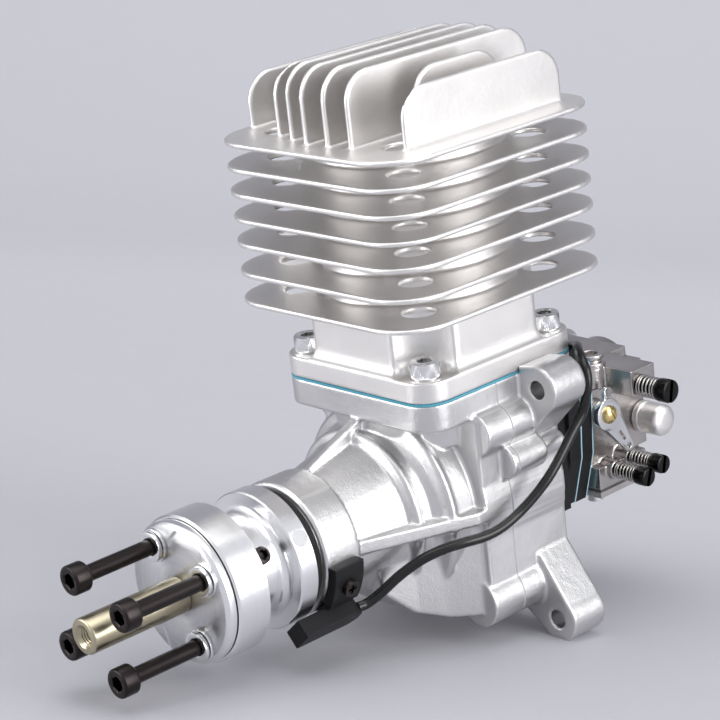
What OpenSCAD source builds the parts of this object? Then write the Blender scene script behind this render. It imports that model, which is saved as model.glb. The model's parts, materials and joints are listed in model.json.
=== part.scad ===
// Single-cylinder two-stroke model aircraft engine, with rear carburettor.
// Millimetres. The origin is on the crankshaft axis at the propeller seat,
// the front face of the propeller washer. -Y points forward, +X to the
// engine's left-hand side as seen from behind the propeller, +Z up the cylinder.

/* [Crank mechanism] */
// Cylinder bore
bore_d = 45; // [44:0.5:46]
// Piston stroke
stroke = 35; // [33:0.5:36]
// Connecting rod, centre to centre
rod_length = 60; // [58:0.5:64]
// Piston crown above the wrist pin
compression_height = 20; // [19:0.5:23]
// Gap over the piston crown at top dead centre
squish = 1; // [0.6:0.1:2]
// Width of the connecting rod
rod_w = 9; // [7:0.5:10]
// Diameter of the crankpin
crankpin_d = 13; // [12:0.5:14]
// Radial thickness of the needle bearing on the crankpin
needle_t = 2; // [1.5:0.1:2.5]
// Wall of the rod's big-end ring
big_end_wall = 2.5; // [2:0.1:3.5]
// Diameter of the wrist pin
wrist_pin_d = 10; // [9:0.5:12]
// Thickness of the crank web
web_t = 10; // [8:0.5:10.5]
// Wall of the piston skirt
piston_wall = 2.6; // [2:0.1:3.5]
// Thickness of the piston crown
crown_t = 5; // [4:0.5:7]
// Height of the piston ring
ring_h = 1.2; // [1:0.1:1.6]

/* [Drive hub] */
// Diameter of the propeller washer
washer_d = 41.2; // [39:0.2:45]
// Thickness of the propeller washer
washer_t = 3.4; // [2.5:0.1:5]
// Diameter of the hub's front flange
hub_front_d = 43; // [41:0.5:46]
// Thickness of the hub's front flange
hub_front_t = 11.1; // [10:0.1:14]
// Diameter of the hub's waist
neck_d = 28.6; // [24:0.2:32]
// Length of the hub's waist
neck_len = 12.1; // [10:0.1:16]
// Diameter of the hub's rear flange
hub_rear_d = 40.6; // [36:0.2:42]
// Thickness of the hub's rear flange
hub_rear_t = 6.4; // [5.5:0.1:9]
// Gap between the hub and the bearing housing
hub_gap = 3.2; // [2:0.1:5]
// Diameter of the timing magnet
magnet_d = 5; // [3:0.5:5]
// Clock angle of the timing magnet
magnet_angle = 29; // [0:1:80]
// Clock angle of the hub's set screw
set_screw_angle = 29; // [0:1:80]

/* [Propeller fastening] */
// Bolt circle of the propeller bolts
prop_circle_d = 30; // [28:0.5:31]
// Clock angle of the first propeller bolt
prop_bolt_angle = 30; // [0:1:90]
// Propeller seat to the underside of the bolt heads
prop_grip = 24.6; // [15:0.2:30]
// Depth of the bolts behind the propeller seat
prop_bolt_depth = 13.4; // [9:0.2:14]
// Diameter of the centre sleeve, which pilots the propeller
sleeve_d = 10.4; // [9.4:0.1:12]
// Length of the centre sleeve in front of the seat
sleeve_reach = 32.7; // [20:0.1:40]
// Core diameter of the sleeve's front thread
sleeve_core_d = 4.2; // [3.3:0.1:5]

/* [Fasteners] */
// Thread diameter of the cap screws
screw_d = 5; // [4.5:0.5:5]
// Head diameter of the cap screws
screw_head_d = 8.5; // [8:0.1:9]
// Head height of the cap screws
screw_head_h = 5; // [4:0.1:5.5]
// Hexagon key across flats
key_af = 4; // [3:0.5:5]

/* [Crankcase] */
// Diameter of the bearing housing
housing_d = 40; // [39:0.5:44]
// Length of the bearing housing
housing_len = 12.8; // [11:0.1:16]
// Length of the cast nose
nose_len = 36.7; // [34:0.1:42]
// Crank chamber front to the cylinder axis
chamber_lead = 15; // [15:0.5:18]
// Cylinder axis to the rear face of the case
case_tail = 18; // [17:0.5:22]
// Joint of the two castings in front of the cylinder axis
split_lead = 4.5; // [4:0.1:5]
// Thickness of the case gasket
case_gasket_t = 0.5; // [0.3:0.1:0.8]
// Wall of the crank chamber
case_wall = 4; // [3.5:0.1:6]
// Height of the cylinder deck above the crankshaft
deck_z = 36.6; // [35.6:0.1:40]
// Thickness of the deck flange
deck_t = 8.1; // [7:0.1:10]
// Side of the square deck flange
flange_w = 62.5; // [61.5:0.1:66]
// Corner radius of the deck flange
flange_corner_r = 8.3; // [6:0.1:10]
// Edge of the deck flange to the cylinder screws
deck_screw_edge = 6.75; // [6:0.05:8]
// Thickness of the side ribs and the top rib
rib_t = 4; // [2.5:0.1:5]

/* [Mounting lugs] */
// Side to side spacing of the lug holes
lug_pitch_x = 76; // [74:0.5:84]
// Height of the upper lug holes
lug_upper_z = 32.5; // [30:0.5:34]
// Depth of the lower lug holes
lug_lower_z = 38.5; // [37:0.5:44]
// Radius of the lug ends
lug_r = 7.2; // [6:0.1:8]
// Thickness of the lugs
lug_t = 13.2; // [10:0.1:15]
// Diameter of the lug holes
lug_hole_d = 5.5; // [4.5:0.1:6.5]

/* [Bearings] */
// Outer diameter of the front bearing
front_bearing_d = 35; // [34:0.5:36]
// Width of the front bearing
front_bearing_w = 11; // [10:0.5:12]
// Outer diameter of the inner bearing
inner_bearing_d = 40; // [39:0.5:42]
// Width of the inner bearing
inner_bearing_w = 12; // [11:0.5:13]
// Crankshaft diameter in the front bearing
front_journal_d = 15; // [14:0.5:16]
// Crankshaft diameter in the inner bearing
inner_journal_d = 17; // [16:0.5:18]
// Number of balls in each bearing
ball_count = 8; // [6:1:8]

/* [Cylinder] */
// Thickness of the base gasket
base_gasket_t = 0.6; // [0.4:0.1:1]
// Thickness of the cylinder's base flange
base_flange_t = 6.2; // [5:0.1:8]
// Wall of the spigot that enters the crankcase
spigot_wall = 1.6; // [1.2:0.1:2]
// Length of the spigot
spigot_len = 9.5; // [6:0.5:10]
// Outer diameter of the barrel between the plates
barrel_d = 56; // [54:0.5:58]
// Reach of the transfer bulges from the cylinder axis
bulge_reach = 29.3; // [28.5:0.1:30]
// Width of the transfer bulges
bulge_w = 25; // [22:0.5:30]
// Width of the cooling plates
plate_w = 78.4; // [76:0.2:84]
// Depth of the cooling plates, front to rear
plate_d = 84; // [80:0.5:90]
// Corner radius of the cooling plates
plate_corner_r = 14.5; // [12:0.5:16]
// Thickness of the cooling plates
plate_t = 1.5; // [1.2:0.1:2]
// Spacing of the upper plates
plate_pitch = 7.4; // [7:0.1:8]
// Spacing of the two lowest plates
low_plate_pitch = 8.65; // [8:0.05:9]
// Top of the bore to the middle of the top plate
head_t = 10.2; // [10:0.1:12]
// Diameter of the access holes for the screw key
access_d = 9.8; // [9.2:0.1:10.5]
// Thickness of the head fins
fin_t = 1.5; // [1.2:0.1:2]
// Spacing of the head fins
fin_pitch = 8.24; // [8:0.02:8.6]
// Middle fin to the cylinder axis
fin_shift = 3.54; // [3:0.02:4]
// Corner radius of the tall fins
fin_corner_r = 9; // [6:0.5:10]
// Core diameter of the spark plug thread
plug_core_d = 9; // [8.6:0.1:9.4]
// Length of the spark plug thread
plug_reach = 13; // [12:0.5:14]
// Height of the exhaust port
exhaust_h = 13; // [10:0.5:14]
// Width of the exhaust port
exhaust_w = 20; // [16:0.5:22]
// Cylinder axis to the exhaust face
exhaust_reach = 40; // [39.5:0.5:43]

/* [Timing sensor] */
// Clock angle of the middle of the clamp
clamp_angle = -20; // [-24:1:-16]
// Arc of the housing that the clamp covers
clamp_arc = 34; // [30:1:36]
// Thickness of the clamp
clamp_t = 3.2; // [2.5:0.1:4]
// Clock angle of the sensor bar
bar_angle = -47; // [-50:1:-46]
// Length of the sensor bar
bar_len = 25.5; // [22:0.5:28]
// Width of the sensor bar
bar_w = 7.6; // [6:0.1:8.5]
// Thickness of the sensor bar
bar_t = 5.6; // [4:0.1:7]
// Gap between the sensor bar and the parts it lies over
bar_clearance = 1.1; // [0.8:0.1:2]
// Diameter of the sensor lead
lead_d = 3; // [2.5:0.1:3.2]

/* [Intake] */
// Depth of the intake pad behind the rear face
pad_t = 5.3; // [4.5:0.1:7]
// Thickness of the manifold gasket
pad_gasket_t = 0.5; // [0.3:0.1:0.8]
// Length of the manifold block in front of its flange
manifold_len = 8.7; // [8.5:0.1:12]
// Thickness of the manifold's flange
manifold_flange_t = 5; // [4.5:0.1:7]
// Thickness of each carburettor gasket
carb_gasket_t = 0.4; // [0.3:0.1:0.8]
// Thickness of the spacer plate
spacer_t = 4.6; // [3:0.1:6]
// Height of the carburettor bore above the crankshaft
carb_z = 9.5; // [9:0.5:10]
// Diameter of the carburettor bore
throat_d = 20; // [18:0.5:21]

/* [Carburettor] */
// Length of the carburettor body
carb_len = 27.5; // [26:0.5:30]
// Half width of the carburettor body
carb_half_w = 19; // [18:0.5:20]
// Length of the round intake collar
collar_len = 4; // [3:0.5:6]
// Carburettor face to the throttle shaft
throttle_set = 4.3; // [4.1:0.1:4.6]
// Carburettor face to the choke shaft
choke_set = 20.5; // [20:0.5:21]
// Diameter of the throttle and choke shafts
shaft_d = 5; // [4:0.2:5.6]
// Thickness of the two butterfly plates
butterfly_t = 1; // [0.8:0.1:1.5]
// Length of the throttle lever, shaft to cable hole
lever_len = 15; // [12:0.5:15.2]
// Thickness of the levers
lever_t = 1.2; // [1:0.1:1.5]
// Wire of the screw springs
screw_wire_d = 0.8; // [0.6:0.05:0.9]
// Wire of the throttle return spring
return_wire_d = 0.7; // [0.5:0.05:0.8]

/* [Hidden] */
$fn = 64;
fit_gap = 0.05;
slack = 0.3;
eps = 0.01;
far = 200;

// Stations along the crankshaft, from the propeller seat backwards
hub_y = washer_t;
neck_y = hub_y + hub_front_t;
rear_flange_y = neck_y + neck_len;
hub_end_y = rear_flange_y + hub_rear_t;
housing_y = hub_end_y + hub_gap;
nose_y = housing_y + housing_len;
chamber_y = nose_y + nose_len;
cyl_y = chamber_y + chamber_lead;
split_y = cyl_y - split_lead;
rear_y = cyl_y + case_tail;

// Crank mechanism
crank_r = stroke / 2;
bore_r = bore_d / 2;
big_end_bore_r = crankpin_d / 2 + needle_t;
big_end_r = big_end_bore_r + big_end_wall;
chamber_r = crank_r + big_end_r + 1;
case_r = chamber_r + case_wall;
web_r = crank_r + crankpin_d / 2 - 0.1;
pin_z = crank_r + rod_length;
crown_z = pin_z + compression_height;
bore_top_z = crown_z + squish;
skirt_z = web_r + 0.6 + stroke;
mouth_z = web_r + 0.1;
small_end_r = wrist_pin_d / 2 + 3;
piston_r = bore_r - fit_gap;
web_back_y = cyl_y - rod_w / 2 - 1.7;
web_front_y = web_back_y - web_t;
web_room_y = web_front_y - 0.8;
pin_front_y = web_back_y + slack;
pin_back_y = cyl_y + rod_w / 2 + 1;
chamber_back_y = pin_back_y + 1.8;
ring_z = crown_z - 4.5;

// Bearings and seal
seal_t = 3;
boss_d = front_journal_d + 7;
sleeve_stem_d = sleeve_d - 1.6;
front_bearing_y = housing_y + seal_t;
inner_bearing_y = chamber_y - inner_bearing_w - 2.5;
inner_seat_end_y = inner_bearing_y + inner_bearing_w;

// Cylinder
cyl_base_z = deck_z + base_gasket_t;
base_top_z = cyl_base_z + base_flange_t;
top_plate_z = bore_top_z + head_t;
upper_plates = [for (i = [0:4]) top_plate_z - i * plate_pitch];
low_plates = [for (i = [1:2]) top_plate_z - 4 * plate_pitch - i * low_plate_pitch];
plate_levels = concat(upper_plates, low_plates);
lowest_plate_z = low_plates[1];
barrel_r = barrel_d / 2;
spigot_r = bore_r + spigot_wall;
screw_at = flange_w / 2 - deck_screw_edge;
bdc_crown_z = crown_z - stroke;
plug_z = bore_top_z + 3;
plug_seat_y = cyl_y + bore_r + plug_reach;
dome_h = 7;

// One entry per head fin, from -X to +X: margin to the plate's front edge,
// margin to its rear edge, and height above the top plate
FINS = [
    [16, 10, 15.5], [27, 24, 16.5], [12, 6.5, 19.5], [9.5, 5, 21], [7.5, 3.5, 21.3],
    [8, 4, 21.3], [9, 4, 20.8], [27, 24, 19], [14, 8.5, 16.5]
];

// Intake and carburettor
pad_y = rear_y + pad_t;
manifold_y = pad_y + pad_gasket_t;
manifold_flange_y = manifold_y + manifold_len;
gasket_one_y = manifold_flange_y + manifold_flange_t;
spacer_y = gasket_one_y + carb_gasket_t;
gasket_two_y = spacer_y + spacer_t;
carb_y = gasket_two_y + carb_gasket_t;
throttle_y = carb_y + throttle_set;
choke_y = carb_y + choke_set;
carb_back_y = carb_y + carb_len;
throat_r = throat_d / 2;
carb_top_z = carb_z + throat_r + 3;
carb_floor_z = carb_z - 17.5;
sump_floor_z = carb_floor_z - 7;
lever_x = carb_half_w + 5.2;
needle_x = lever_x + 0.4;
idle_x = 31;
reed_z = 4;
pad_half_w = 21;
pad_low_z = -17;
pad_high_z = 19.5;

// Bosses of the screws that join the two castings, as [x, z]
UPPER_BOSS = [30, 23.5];
LOWER_BOSS = [27.5, -28];

// Screw positions beside the throttle shaft, as [y, z] from its axis
IDLE_AT = [9.3, 7.4];
RICH_AT = [3.3, -19.2];
LEAN_AT = [10.4, -17.4];
UNION_AT = [21.4, -8.3];

// Fuel nipple on top of the body, as [x, y from the throttle shaft]
NIPPLE_AT = [16.6, 3.2];

// Clock angles of the four propeller bolts
PROP_BOLTS = [for (i = [0:3]) prop_bolt_angle + i * 90];

// Route of the sensor lead, from the sensor bar round the upper lug and the
// rear of the deck flange to the connector on top of the manifold
LEAD_START = [17, 48, -18];
LEAD_ROUTE = [
    LEAD_START, [17.6, 51, -17.8], [19.6, 54.5, -15.6], [23.5, 59.5, -10.8], [27.6, 64.5, -7],
    [31, 70, -5], [33.8, 76, -4.4], [35.6, 82, -4.4], [36.6, 88, -3.6], [37.4, 94, -1.4],
    [38.8, 99.6, 2.2], [40.2, 105.4, 7], [40.4, 111, 12], [40.2, 116.4, 17], [40.6, 120.8, 21.6],
    [41.6, 121.6, 26], [42, 122.4, 30.2], [41, 123.2, 34], [38, 124.8, 36.6],
    [34.4, 127.6, 37.6], [31, 131, 37.2], [27, 134, 35.8], [22, 136, 34], [16, 136.6, 32.8], [10, 136.6, 32.6]
];
plug_len = 14;
LEAD_END = LEAD_ROUTE[len(LEAD_ROUTE) - 1];

// Places a child that stands along +Z so that it points along +Y
module along_y(y = 0, x = 0, z = 0) {
    translate([x, y, z]) rotate([-90, 0, 0]) children();
}

// Places a child that stands along +Z so that it points along +X
module along_x(x = 0, y = 0, z = 0) {
    translate([x, y, z]) rotate([0, 90, 0]) children();
}

// Turns a profile of [radius, station] points about the crankshaft axis
module turned(points) {
    rotate([-90, 0, 0]) rotate_extrude() polygon(points);
}

// Extrudes an outline drawn in X and Z between two stations along Y
module between_y(y0, y1) {
    translate([0, y1, 0]) rotate([90, 0, 0]) linear_extrude(y1 - y0) children();
}

// Extrudes an outline drawn in Y and Z between two places along X
module between_x(x0, x1) {
    translate([x0, 0, 0]) rotate([90, 0, 90]) linear_extrude(x1 - x0) children();
}

// Turns children about the crankshaft so that +X meets the clock angle
module at_clock(angle) {
    rotate([0, -angle, 0]) children();
}

module both_sides() {
    children();
    mirror([1, 0, 0]) children();
}

module ring(r_out, r_in, h) {
    difference() {
        cylinder(r = r_out, h = h);
        translate([0, 0, -eps]) cylinder(r = r_in, h = h + 2 * eps);
    }
}

module rounded_square(w, d, r) {
    square([w - 2 * r, d], center = true);
    square([w, d - 2 * r], center = true);
    for (sx = [-1, 1], sy = [-1, 1]) translate([sx * (w / 2 - r), sy * (d / 2 - r)]) circle(r);
}

// Places a child at each of the four cylinder screws
module at_deck_screws(z) {
    for (sx = [-1, 1], sy = [-1, 1]) translate([sx * screw_at, cyl_y + sy * screw_at, z]) children();
}

// Socket head cap screw along +Z: the head's underside is at z = 0
module cap_screw(d, len, head_d = screw_head_d, head_h = screw_head_h, key = key_af) {
    difference() {
        cylinder(d = head_d, h = head_h);
        translate([0, 0, head_h / 2]) cylinder(d = key / cos(30), h = head_h, $fn = 6);
    }
    translate([0, 0, -len]) cylinder(d = d, h = len + eps);
}

// Crankcase

// Section of the crank chamber, seen along the crankshaft
module case_section() {
    circle(r = case_r);
    translate([-case_r + 1, -22]) square([2 * case_r - 2, deck_z - deck_t + 22 + eps]);
}

// Point where a line from p touches a circle, on the side given by s
function touch(p, c, r, s) =
    let (d = p - c, reach = norm(d), turn = s * acos(r / reach), heading = atan2(d[1], d[0]))
    c + r * [cos(heading + turn), sin(heading + turn)];

// Arm and round end of a lug, between the root points a and b
module lug_outline(c, a, b) {
    translate(c) circle(r = lug_r);
    polygon([a, touch(a, c, 0.985 * lug_r, 1), c, touch(b, c, 0.985 * lug_r, -1), b]);
}

module lugs() {
    upper = [lug_pitch_x / 2, lug_upper_z];
    lower = [lug_pitch_x / 2, -lug_lower_z];
    both_sides() between_y(rear_y - lug_t, rear_y) {
        difference() {
            lug_outline(upper, [case_r - 6, 12], [flange_w / 2 - 1, deck_z + 2]);
            translate([0, deck_z - eps]) square([flange_w / 2 + 0.2, 20]);
        }
        lug_outline(lower, [8, -24], [case_r * 0.86, -13]);
    }
}

module case_bosses() {
    both_sides() {
        along_y(chamber_y + 1, UPPER_BOSS[0], UPPER_BOSS[1]) cylinder(r = 6.5, h = rear_y - chamber_y - 2);
        along_y(chamber_y - 1.2, LOWER_BOSS[0], LOWER_BOSS[1]) cylinder(r = 7.5, h = rear_y - chamber_y + 0.2);
        along_y(chamber_y + 8.5, case_r - 0.4, 13.2) cylinder(r = 4.9, h = 14);
        along_y(chamber_y + 8.5, case_r - 0.6, 13.2) cylinder(r = 3, h = rear_y - chamber_y - 9.5);
    }
}

module case_ribs() {
    between_x(-rib_t * 0.4, rib_t * 0.4)
        polygon([[nose_y - 1, 12], [nose_y - 1, housing_d / 2 - 0.6], [cyl_y - flange_w / 2 + 1.5, deck_z - deck_t + 1],
                 [cyl_y - 24, deck_z - deck_t + 1], [cyl_y - 24, 12]]);
    both_sides() translate([0, 0, -rib_t / 2]) linear_extrude(rib_t)
        polygon([[12, nose_y - 0.8], [housing_d / 2 - 1, nose_y - 0.8], [case_r, chamber_y - 3],
                 [case_r, chamber_y + 2], [12, chamber_y + 2]]);
}

// Squared underside of the nose, which widens towards the chamber
module case_belly() {
    intersection() {
        between_x(-case_r, case_r)
            polygon([[nose_y + 7, 0], [nose_y + 8, -17], [nose_y + 17.5, -26], [chamber_y - 9.5, -30],
                     [chamber_y + 1.5, -31.5], [chamber_y + 1.5, 0]]);
        translate([0, 0, -50]) linear_extrude(51)
            polygon([[-14, nose_y], [-18, nose_y + 8], [-21, nose_y + 18.7], [-25, chamber_y - 9.8],
                     [-30.5, chamber_y - 0.5], [-30.5, chamber_y + 9], [30.5, chamber_y + 9], [30.5, chamber_y - 0.5],
                     [25, chamber_y - 9.8], [21, nose_y + 18.7], [18, nose_y + 8], [14, nose_y]]);
    }
}

// The complete casting, before it is cut at the joint
module case_casting() {
    difference() {
        union() {
            turned([[0, housing_y], [housing_d / 2 - 0.8, housing_y], [housing_d / 2, housing_y + 0.8],
                    [housing_d / 2, nose_y - 0.4], [housing_d / 2 - 0.4, nose_y], [housing_d / 2 - 1.5, nose_y + 0.2],
                    [housing_d / 2 + 2.4, chamber_y - 19.6], [housing_d / 2 + 4.8, chamber_y - 18.9],
                    [housing_d / 2 + 5.5, chamber_y - 18], [housing_d / 2 + 5.5, chamber_y - 17],
                    [housing_d / 2 + 4.6, chamber_y - 16.2], [housing_d / 2 + 5, chamber_y - 13.2],
                    [housing_d / 2 + 7, chamber_y - 11.4], [case_r - 3.8, chamber_y - 10.6],
                    [case_r - 2.8, chamber_y - 9.8], [case_r - 2.8, chamber_y - 8.6],
                    [case_r - 3.8, chamber_y - 7.8], [case_r - 3.8, chamber_y + 1], [0, chamber_y + 1]]);
            between_y(chamber_y, rear_y) case_section();
            translate([0, cyl_y, mouth_z - 4]) cylinder(r = spigot_r + 5.4, h = deck_z - mouth_z);
            translate([0, cyl_y, deck_z - deck_t]) linear_extrude(deck_t)
                rounded_square(flange_w, flange_w, flange_corner_r);
            between_y(rear_y - eps, pad_y) translate([-pad_half_w, pad_low_z])
                square([2 * pad_half_w, pad_high_z - pad_low_z]);
            lugs();
            case_belly();
            case_bosses();
            case_ribs();
        }
        // Crank chamber, cylinder mouth, shaft tunnel and bearing seats
        along_y(web_room_y) cylinder(r = web_r + 1.4, h = cyl_y - web_room_y);
        along_y(web_back_y - 2) cylinder(r = chamber_r, h = chamber_back_y - web_back_y + 2);
        translate([0, cyl_y, mouth_z]) cylinder(r = spigot_r + 0.1, h = deck_z);
        along_y(housing_y - eps) cylinder(r = front_bearing_d / 2, h = seal_t + front_bearing_w + eps);
        along_y(housing_y) cylinder(r = inner_journal_d / 2 + 3.5, h = web_back_y - housing_y);
        along_y(inner_bearing_y) cylinder(r = inner_bearing_d / 2, h = web_back_y - inner_bearing_y);
        // Reed window, with the seat of the reed block's flange
        between_y(chamber_back_y - 1, pad_y + eps) translate([0, reed_z]) square([25, 22], center = true);
        between_y(pad_y - 1.5, pad_y + eps) translate([0, reed_z]) square([31, 26], center = true);
        // Holes
        at_deck_screws(deck_z - deck_t + 0.7) cylinder(d = screw_d, h = 20);
        for (sx = [-1, 1], z = [lug_upper_z, -lug_lower_z])
            along_y(rear_y - lug_t - 1, sx * lug_pitch_x / 2, z) cylinder(d = lug_hole_d, h = lug_t + 2);
        at_case_screws() {
            translate([0, 0, -rear_y + chamber_y + 4]) cylinder(d = screw_d, h = rear_y - chamber_y);
            translate([0, 0, -screw_head_h]) cylinder(d = screw_head_d + 0.6, h = 20);
        }
        at_manifold_screws(pad_y - 4) cylinder(d = 4, h = 20);
        at_clock(clamp_angle) along_x(front_bearing_d / 2 + 0.4, housing_y + 5.5) cylinder(d = 2.4, h = 9);
    }
}

// Places a child that stands along +Z at each screw of the case joint
module at_case_screws() {
    for (sx = [-1, 1], at = [UPPER_BOSS, LOWER_BOSS]) along_y(rear_y, sx * at[0], at[1]) children();
}

module at_manifold_screws(y) {
    for (sx = [-1, 1]) {
        along_y(y, sx * 17.8, 9) children();
        along_y(y, sx * 13.8, -13.2) children();
    }
}

module slab(y0, y1) {
    translate([-far / 2, y0, -far / 2]) cube([far, y1 - y0, far]);
}

module crankcase_front() {
    color("silver") intersection() {
        case_casting();
        slab(0, split_y);
    }
}

module crankcase_rear() {
    color("silver") intersection() {
        case_casting();
        slab(split_y + case_gasket_t, far);
    }
}

module case_gasket() {
    color("steelblue") intersection() {
        case_casting();
        slab(split_y, split_y + case_gasket_t);
    }
}

module case_screws() {
    color("lightgray") at_case_screws()
        translate([0, 0, -screw_head_h]) cap_screw(screw_d, rear_y - chamber_y - 6 - screw_head_h);
}

// Cylinder

// Barrel, transfer bulges and corner pockets between the base flange and the plates
module cylinder_waist() {
    difference() {
        translate([0, cyl_y, base_top_z - eps]) linear_extrude(lowest_plate_z - base_top_z + eps) {
            circle(r = barrel_r - 1);
            square([2 * bulge_reach, bulge_w], center = true);
            square([bulge_w, 2 * bulge_reach], center = true);
            rounded_square(2 * bulge_reach - 4, 2 * bulge_reach - 4, 9);
        }
        at_deck_screws(base_top_z - 1) cylinder(r = access_d / 2 + 1.6, h = 40);
    }
}

// One upright head fin: round upper corners, flat foot
module head_fin(front, rear, h) {
    r = min(fin_corner_r, h - 2);
    translate([front, -1]) square([rear - front, h - r + 1]);
    translate([front + r, 0]) square([rear - front - 2 * r, h]);
    translate([front + r, h - r]) circle(r = r);
    translate([rear - r, h - r]) circle(r = r);
}

module head_fins() {
    middle = (len(FINS) - 1) / 2;
    for (i = [0:len(FINS) - 1]) {
        x = (i - middle) * fin_pitch - fin_shift;
        translate([0, cyl_y, top_plate_z + plate_t / 2]) between_x(x - fin_t / 2, x + fin_t / 2)
            head_fin(-plate_d / 2 + FINS[i][0], plate_d / 2 - FINS[i][1], FINS[i][2]);
    }
}

module exhaust_boss() {
    translate([-exhaust_reach, cyl_y - exhaust_w / 2 - 9, bdc_crown_z - 1.5])
        cube([exhaust_reach - barrel_r + 3, exhaust_w + 18, exhaust_h + 5]);
}

module cylinder_solid() {
    translate([0, cyl_y, cyl_base_z]) linear_extrude(base_flange_t)
        rounded_square(flange_w, flange_w, flange_corner_r);
    translate([0, cyl_y, deck_z - spigot_len]) cylinder(r = spigot_r, h = spigot_len + base_gasket_t + eps);
    cylinder_waist();
    translate([0, cyl_y, base_top_z]) cylinder(r = barrel_r, h = top_plate_z - base_top_z);
    for (z = plate_levels)
        translate([0, cyl_y, z - plate_t / 2]) linear_extrude(plate_t)
            rounded_square(plate_w, plate_d, plate_corner_r);
    // Transfer bulges, front and rear, up to the fifth plate
    translate([-bulge_w / 2, cyl_y - bulge_reach, lowest_plate_z])
        cube([bulge_w, 2 * bulge_reach, upper_plates[4] - lowest_plate_z]);
    exhaust_boss();
    along_y(cyl_y + barrel_r - 6, 0, plug_z) cylinder(r = plug_core_d / 2 + 4.5, h = plug_seat_y - cyl_y - barrel_r + 6);
    head_fins();
}

module cylinder_node() {
    color("silver") difference() {
        cylinder_solid();
        // Bore and the domed combustion chamber
        translate([0, cyl_y, 0]) cylinder(r = bore_r, h = bore_top_z);
        translate([0, cyl_y, bore_top_z - eps]) cylinder(r1 = bore_r - 2, r2 = 9, h = dome_h);
        // Transfer passages, front and rear
        for (sy = [-1, 1]) {
            translate([0, cyl_y + sy * (bore_r + 2.6), (deck_z + bdc_crown_z + 9) / 2])
                cube([16, 3.4, bdc_crown_z + 9 - deck_z + 1], center = true);
            translate([0, cyl_y + sy * bore_r, bdc_crown_z + 4.5]) cube([14, 9, 9], center = true);
        }
        // Exhaust port and its two tapped holes
        translate([-exhaust_reach - 1, cyl_y - exhaust_w / 2, bdc_crown_z])
            cube([exhaust_reach - bore_r + 6, exhaust_w, exhaust_h]);
        for (sy = [-1, 1]) translate([-exhaust_reach - 1, cyl_y + sy * (exhaust_w / 2 + 4.5), bdc_crown_z + exhaust_h / 2])
            rotate([0, 90, 0]) cylinder(d = screw_d - 0.8, h = 10);
        // Spark plug thread and the room for its socket
        along_y(cyl_y + bore_r - 1, 0, plug_z) cylinder(d = plug_core_d, h = plug_reach + 5);
        along_y(cyl_y + 12, 0, plug_z) cylinder(d = plug_core_d + 2, h = bore_r - 12);
        along_y(plug_seat_y, 0, plug_z) cylinder(r = plug_core_d / 2 + 6, h = 20);
        // Screw holes, key access and the seats of the screw heads
        at_deck_screws(deck_z) cylinder(d = screw_d + 0.4, h = 20);
        at_deck_screws(base_top_z) cylinder(d = access_d, h = 100);
    }
}

module cylinder_gasket() {
    color("dodgerblue") difference() {
        translate([0, cyl_y, deck_z]) linear_extrude(base_gasket_t)
            rounded_square(flange_w, flange_w, flange_corner_r);
        translate([0, cyl_y, deck_z - 1]) cylinder(r = spigot_r + 0.1, h = 3);
        at_deck_screws(deck_z - 1) cylinder(d = screw_d + 0.4, h = 3);
        for (sy = [-1, 1]) translate([0, cyl_y + sy * (bore_r + 2.6), deck_z]) cube([16, 3.4, 3], center = true);
    }
}

module cylinder_screws() {
    color("gainsboro") at_deck_screws(base_top_z) cap_screw(screw_d, base_top_z - deck_z + deck_t - 1.4);
}

// Bearings

// Half of a ball bearing race: a ring with a groove turned about the balls' circle
module race(r_out, r_in, w, pitch_r, ball_r) {
    rotate_extrude() difference() {
        translate([r_in, 0]) square([r_out - r_in, w]);
        translate([pitch_r, w / 2]) circle(r = ball_r + 0.08);
    }
}

function pitch_radius(d, bore) = (d + bore) / 4;
function ball_radius(d, bore) = (d - bore) / 6;

module outer_race(d, bore, w) {
    race(d / 2, pitch_radius(d, bore) + ball_radius(d, bore) * 0.6, w, pitch_radius(d, bore), ball_radius(d, bore));
}

module inner_race(d, bore, w) {
    race(pitch_radius(d, bore) - ball_radius(d, bore) * 0.6, bore / 2, w, pitch_radius(d, bore), ball_radius(d, bore));
}

module balls(d, bore, w) {
    for (i = [0:ball_count - 1]) rotate(i * 360 / ball_count)
        translate([pitch_radius(d, bore), 0, w / 2]) sphere(r = ball_radius(d, bore));
}

module bearing_outer_rings() {
    color("lightsteelblue") {
        along_y(front_bearing_y) outer_race(front_bearing_d, front_journal_d, front_bearing_w);
        along_y(inner_bearing_y) outer_race(inner_bearing_d, inner_journal_d, inner_bearing_w);
    }
}

module bearing_inner_rings() {
    color("lightsteelblue") {
        along_y(front_bearing_y) inner_race(front_bearing_d, front_journal_d, front_bearing_w);
        along_y(inner_bearing_y) inner_race(inner_bearing_d, inner_journal_d, inner_bearing_w);
    }
}

module bearing_balls() {
    color("white") {
        along_y(front_bearing_y) balls(front_bearing_d, front_journal_d, front_bearing_w);
        along_y(inner_bearing_y) balls(inner_bearing_d, inner_journal_d, inner_bearing_w);
    }
}

module front_seal() {
    color("dimgray") along_y(housing_y) ring(front_bearing_d / 2, boss_d / 2 + fit_gap, seal_t);
}

// Timing sensor

// Wedge of a ring about the crankshaft, between two clock angles
module ring_sector(r_out, r_in, y0, y1, a0, a1) {
    intersection() {
        along_y(y0) ring(r_out, r_in, y1 - y0);
        between_y(y0, y1) polygon([[0, 0], 60 * [cos(a0), sin(a0)], 60 * [cos(a1), sin(a1)]]);
    }
}

module sensor_clamp() {
    color("black") difference() {
        ring_sector(housing_d / 2 + clamp_t, housing_d / 2, housing_y + 0.3, nose_y - 1.8,
                    clamp_angle - clamp_arc / 2, clamp_angle + clamp_arc / 2);
        at_clock(clamp_angle) along_x(housing_d / 2 - 1, housing_y + 5.5) cylinder(d = 2.8, h = 9);
    }
}

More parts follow.
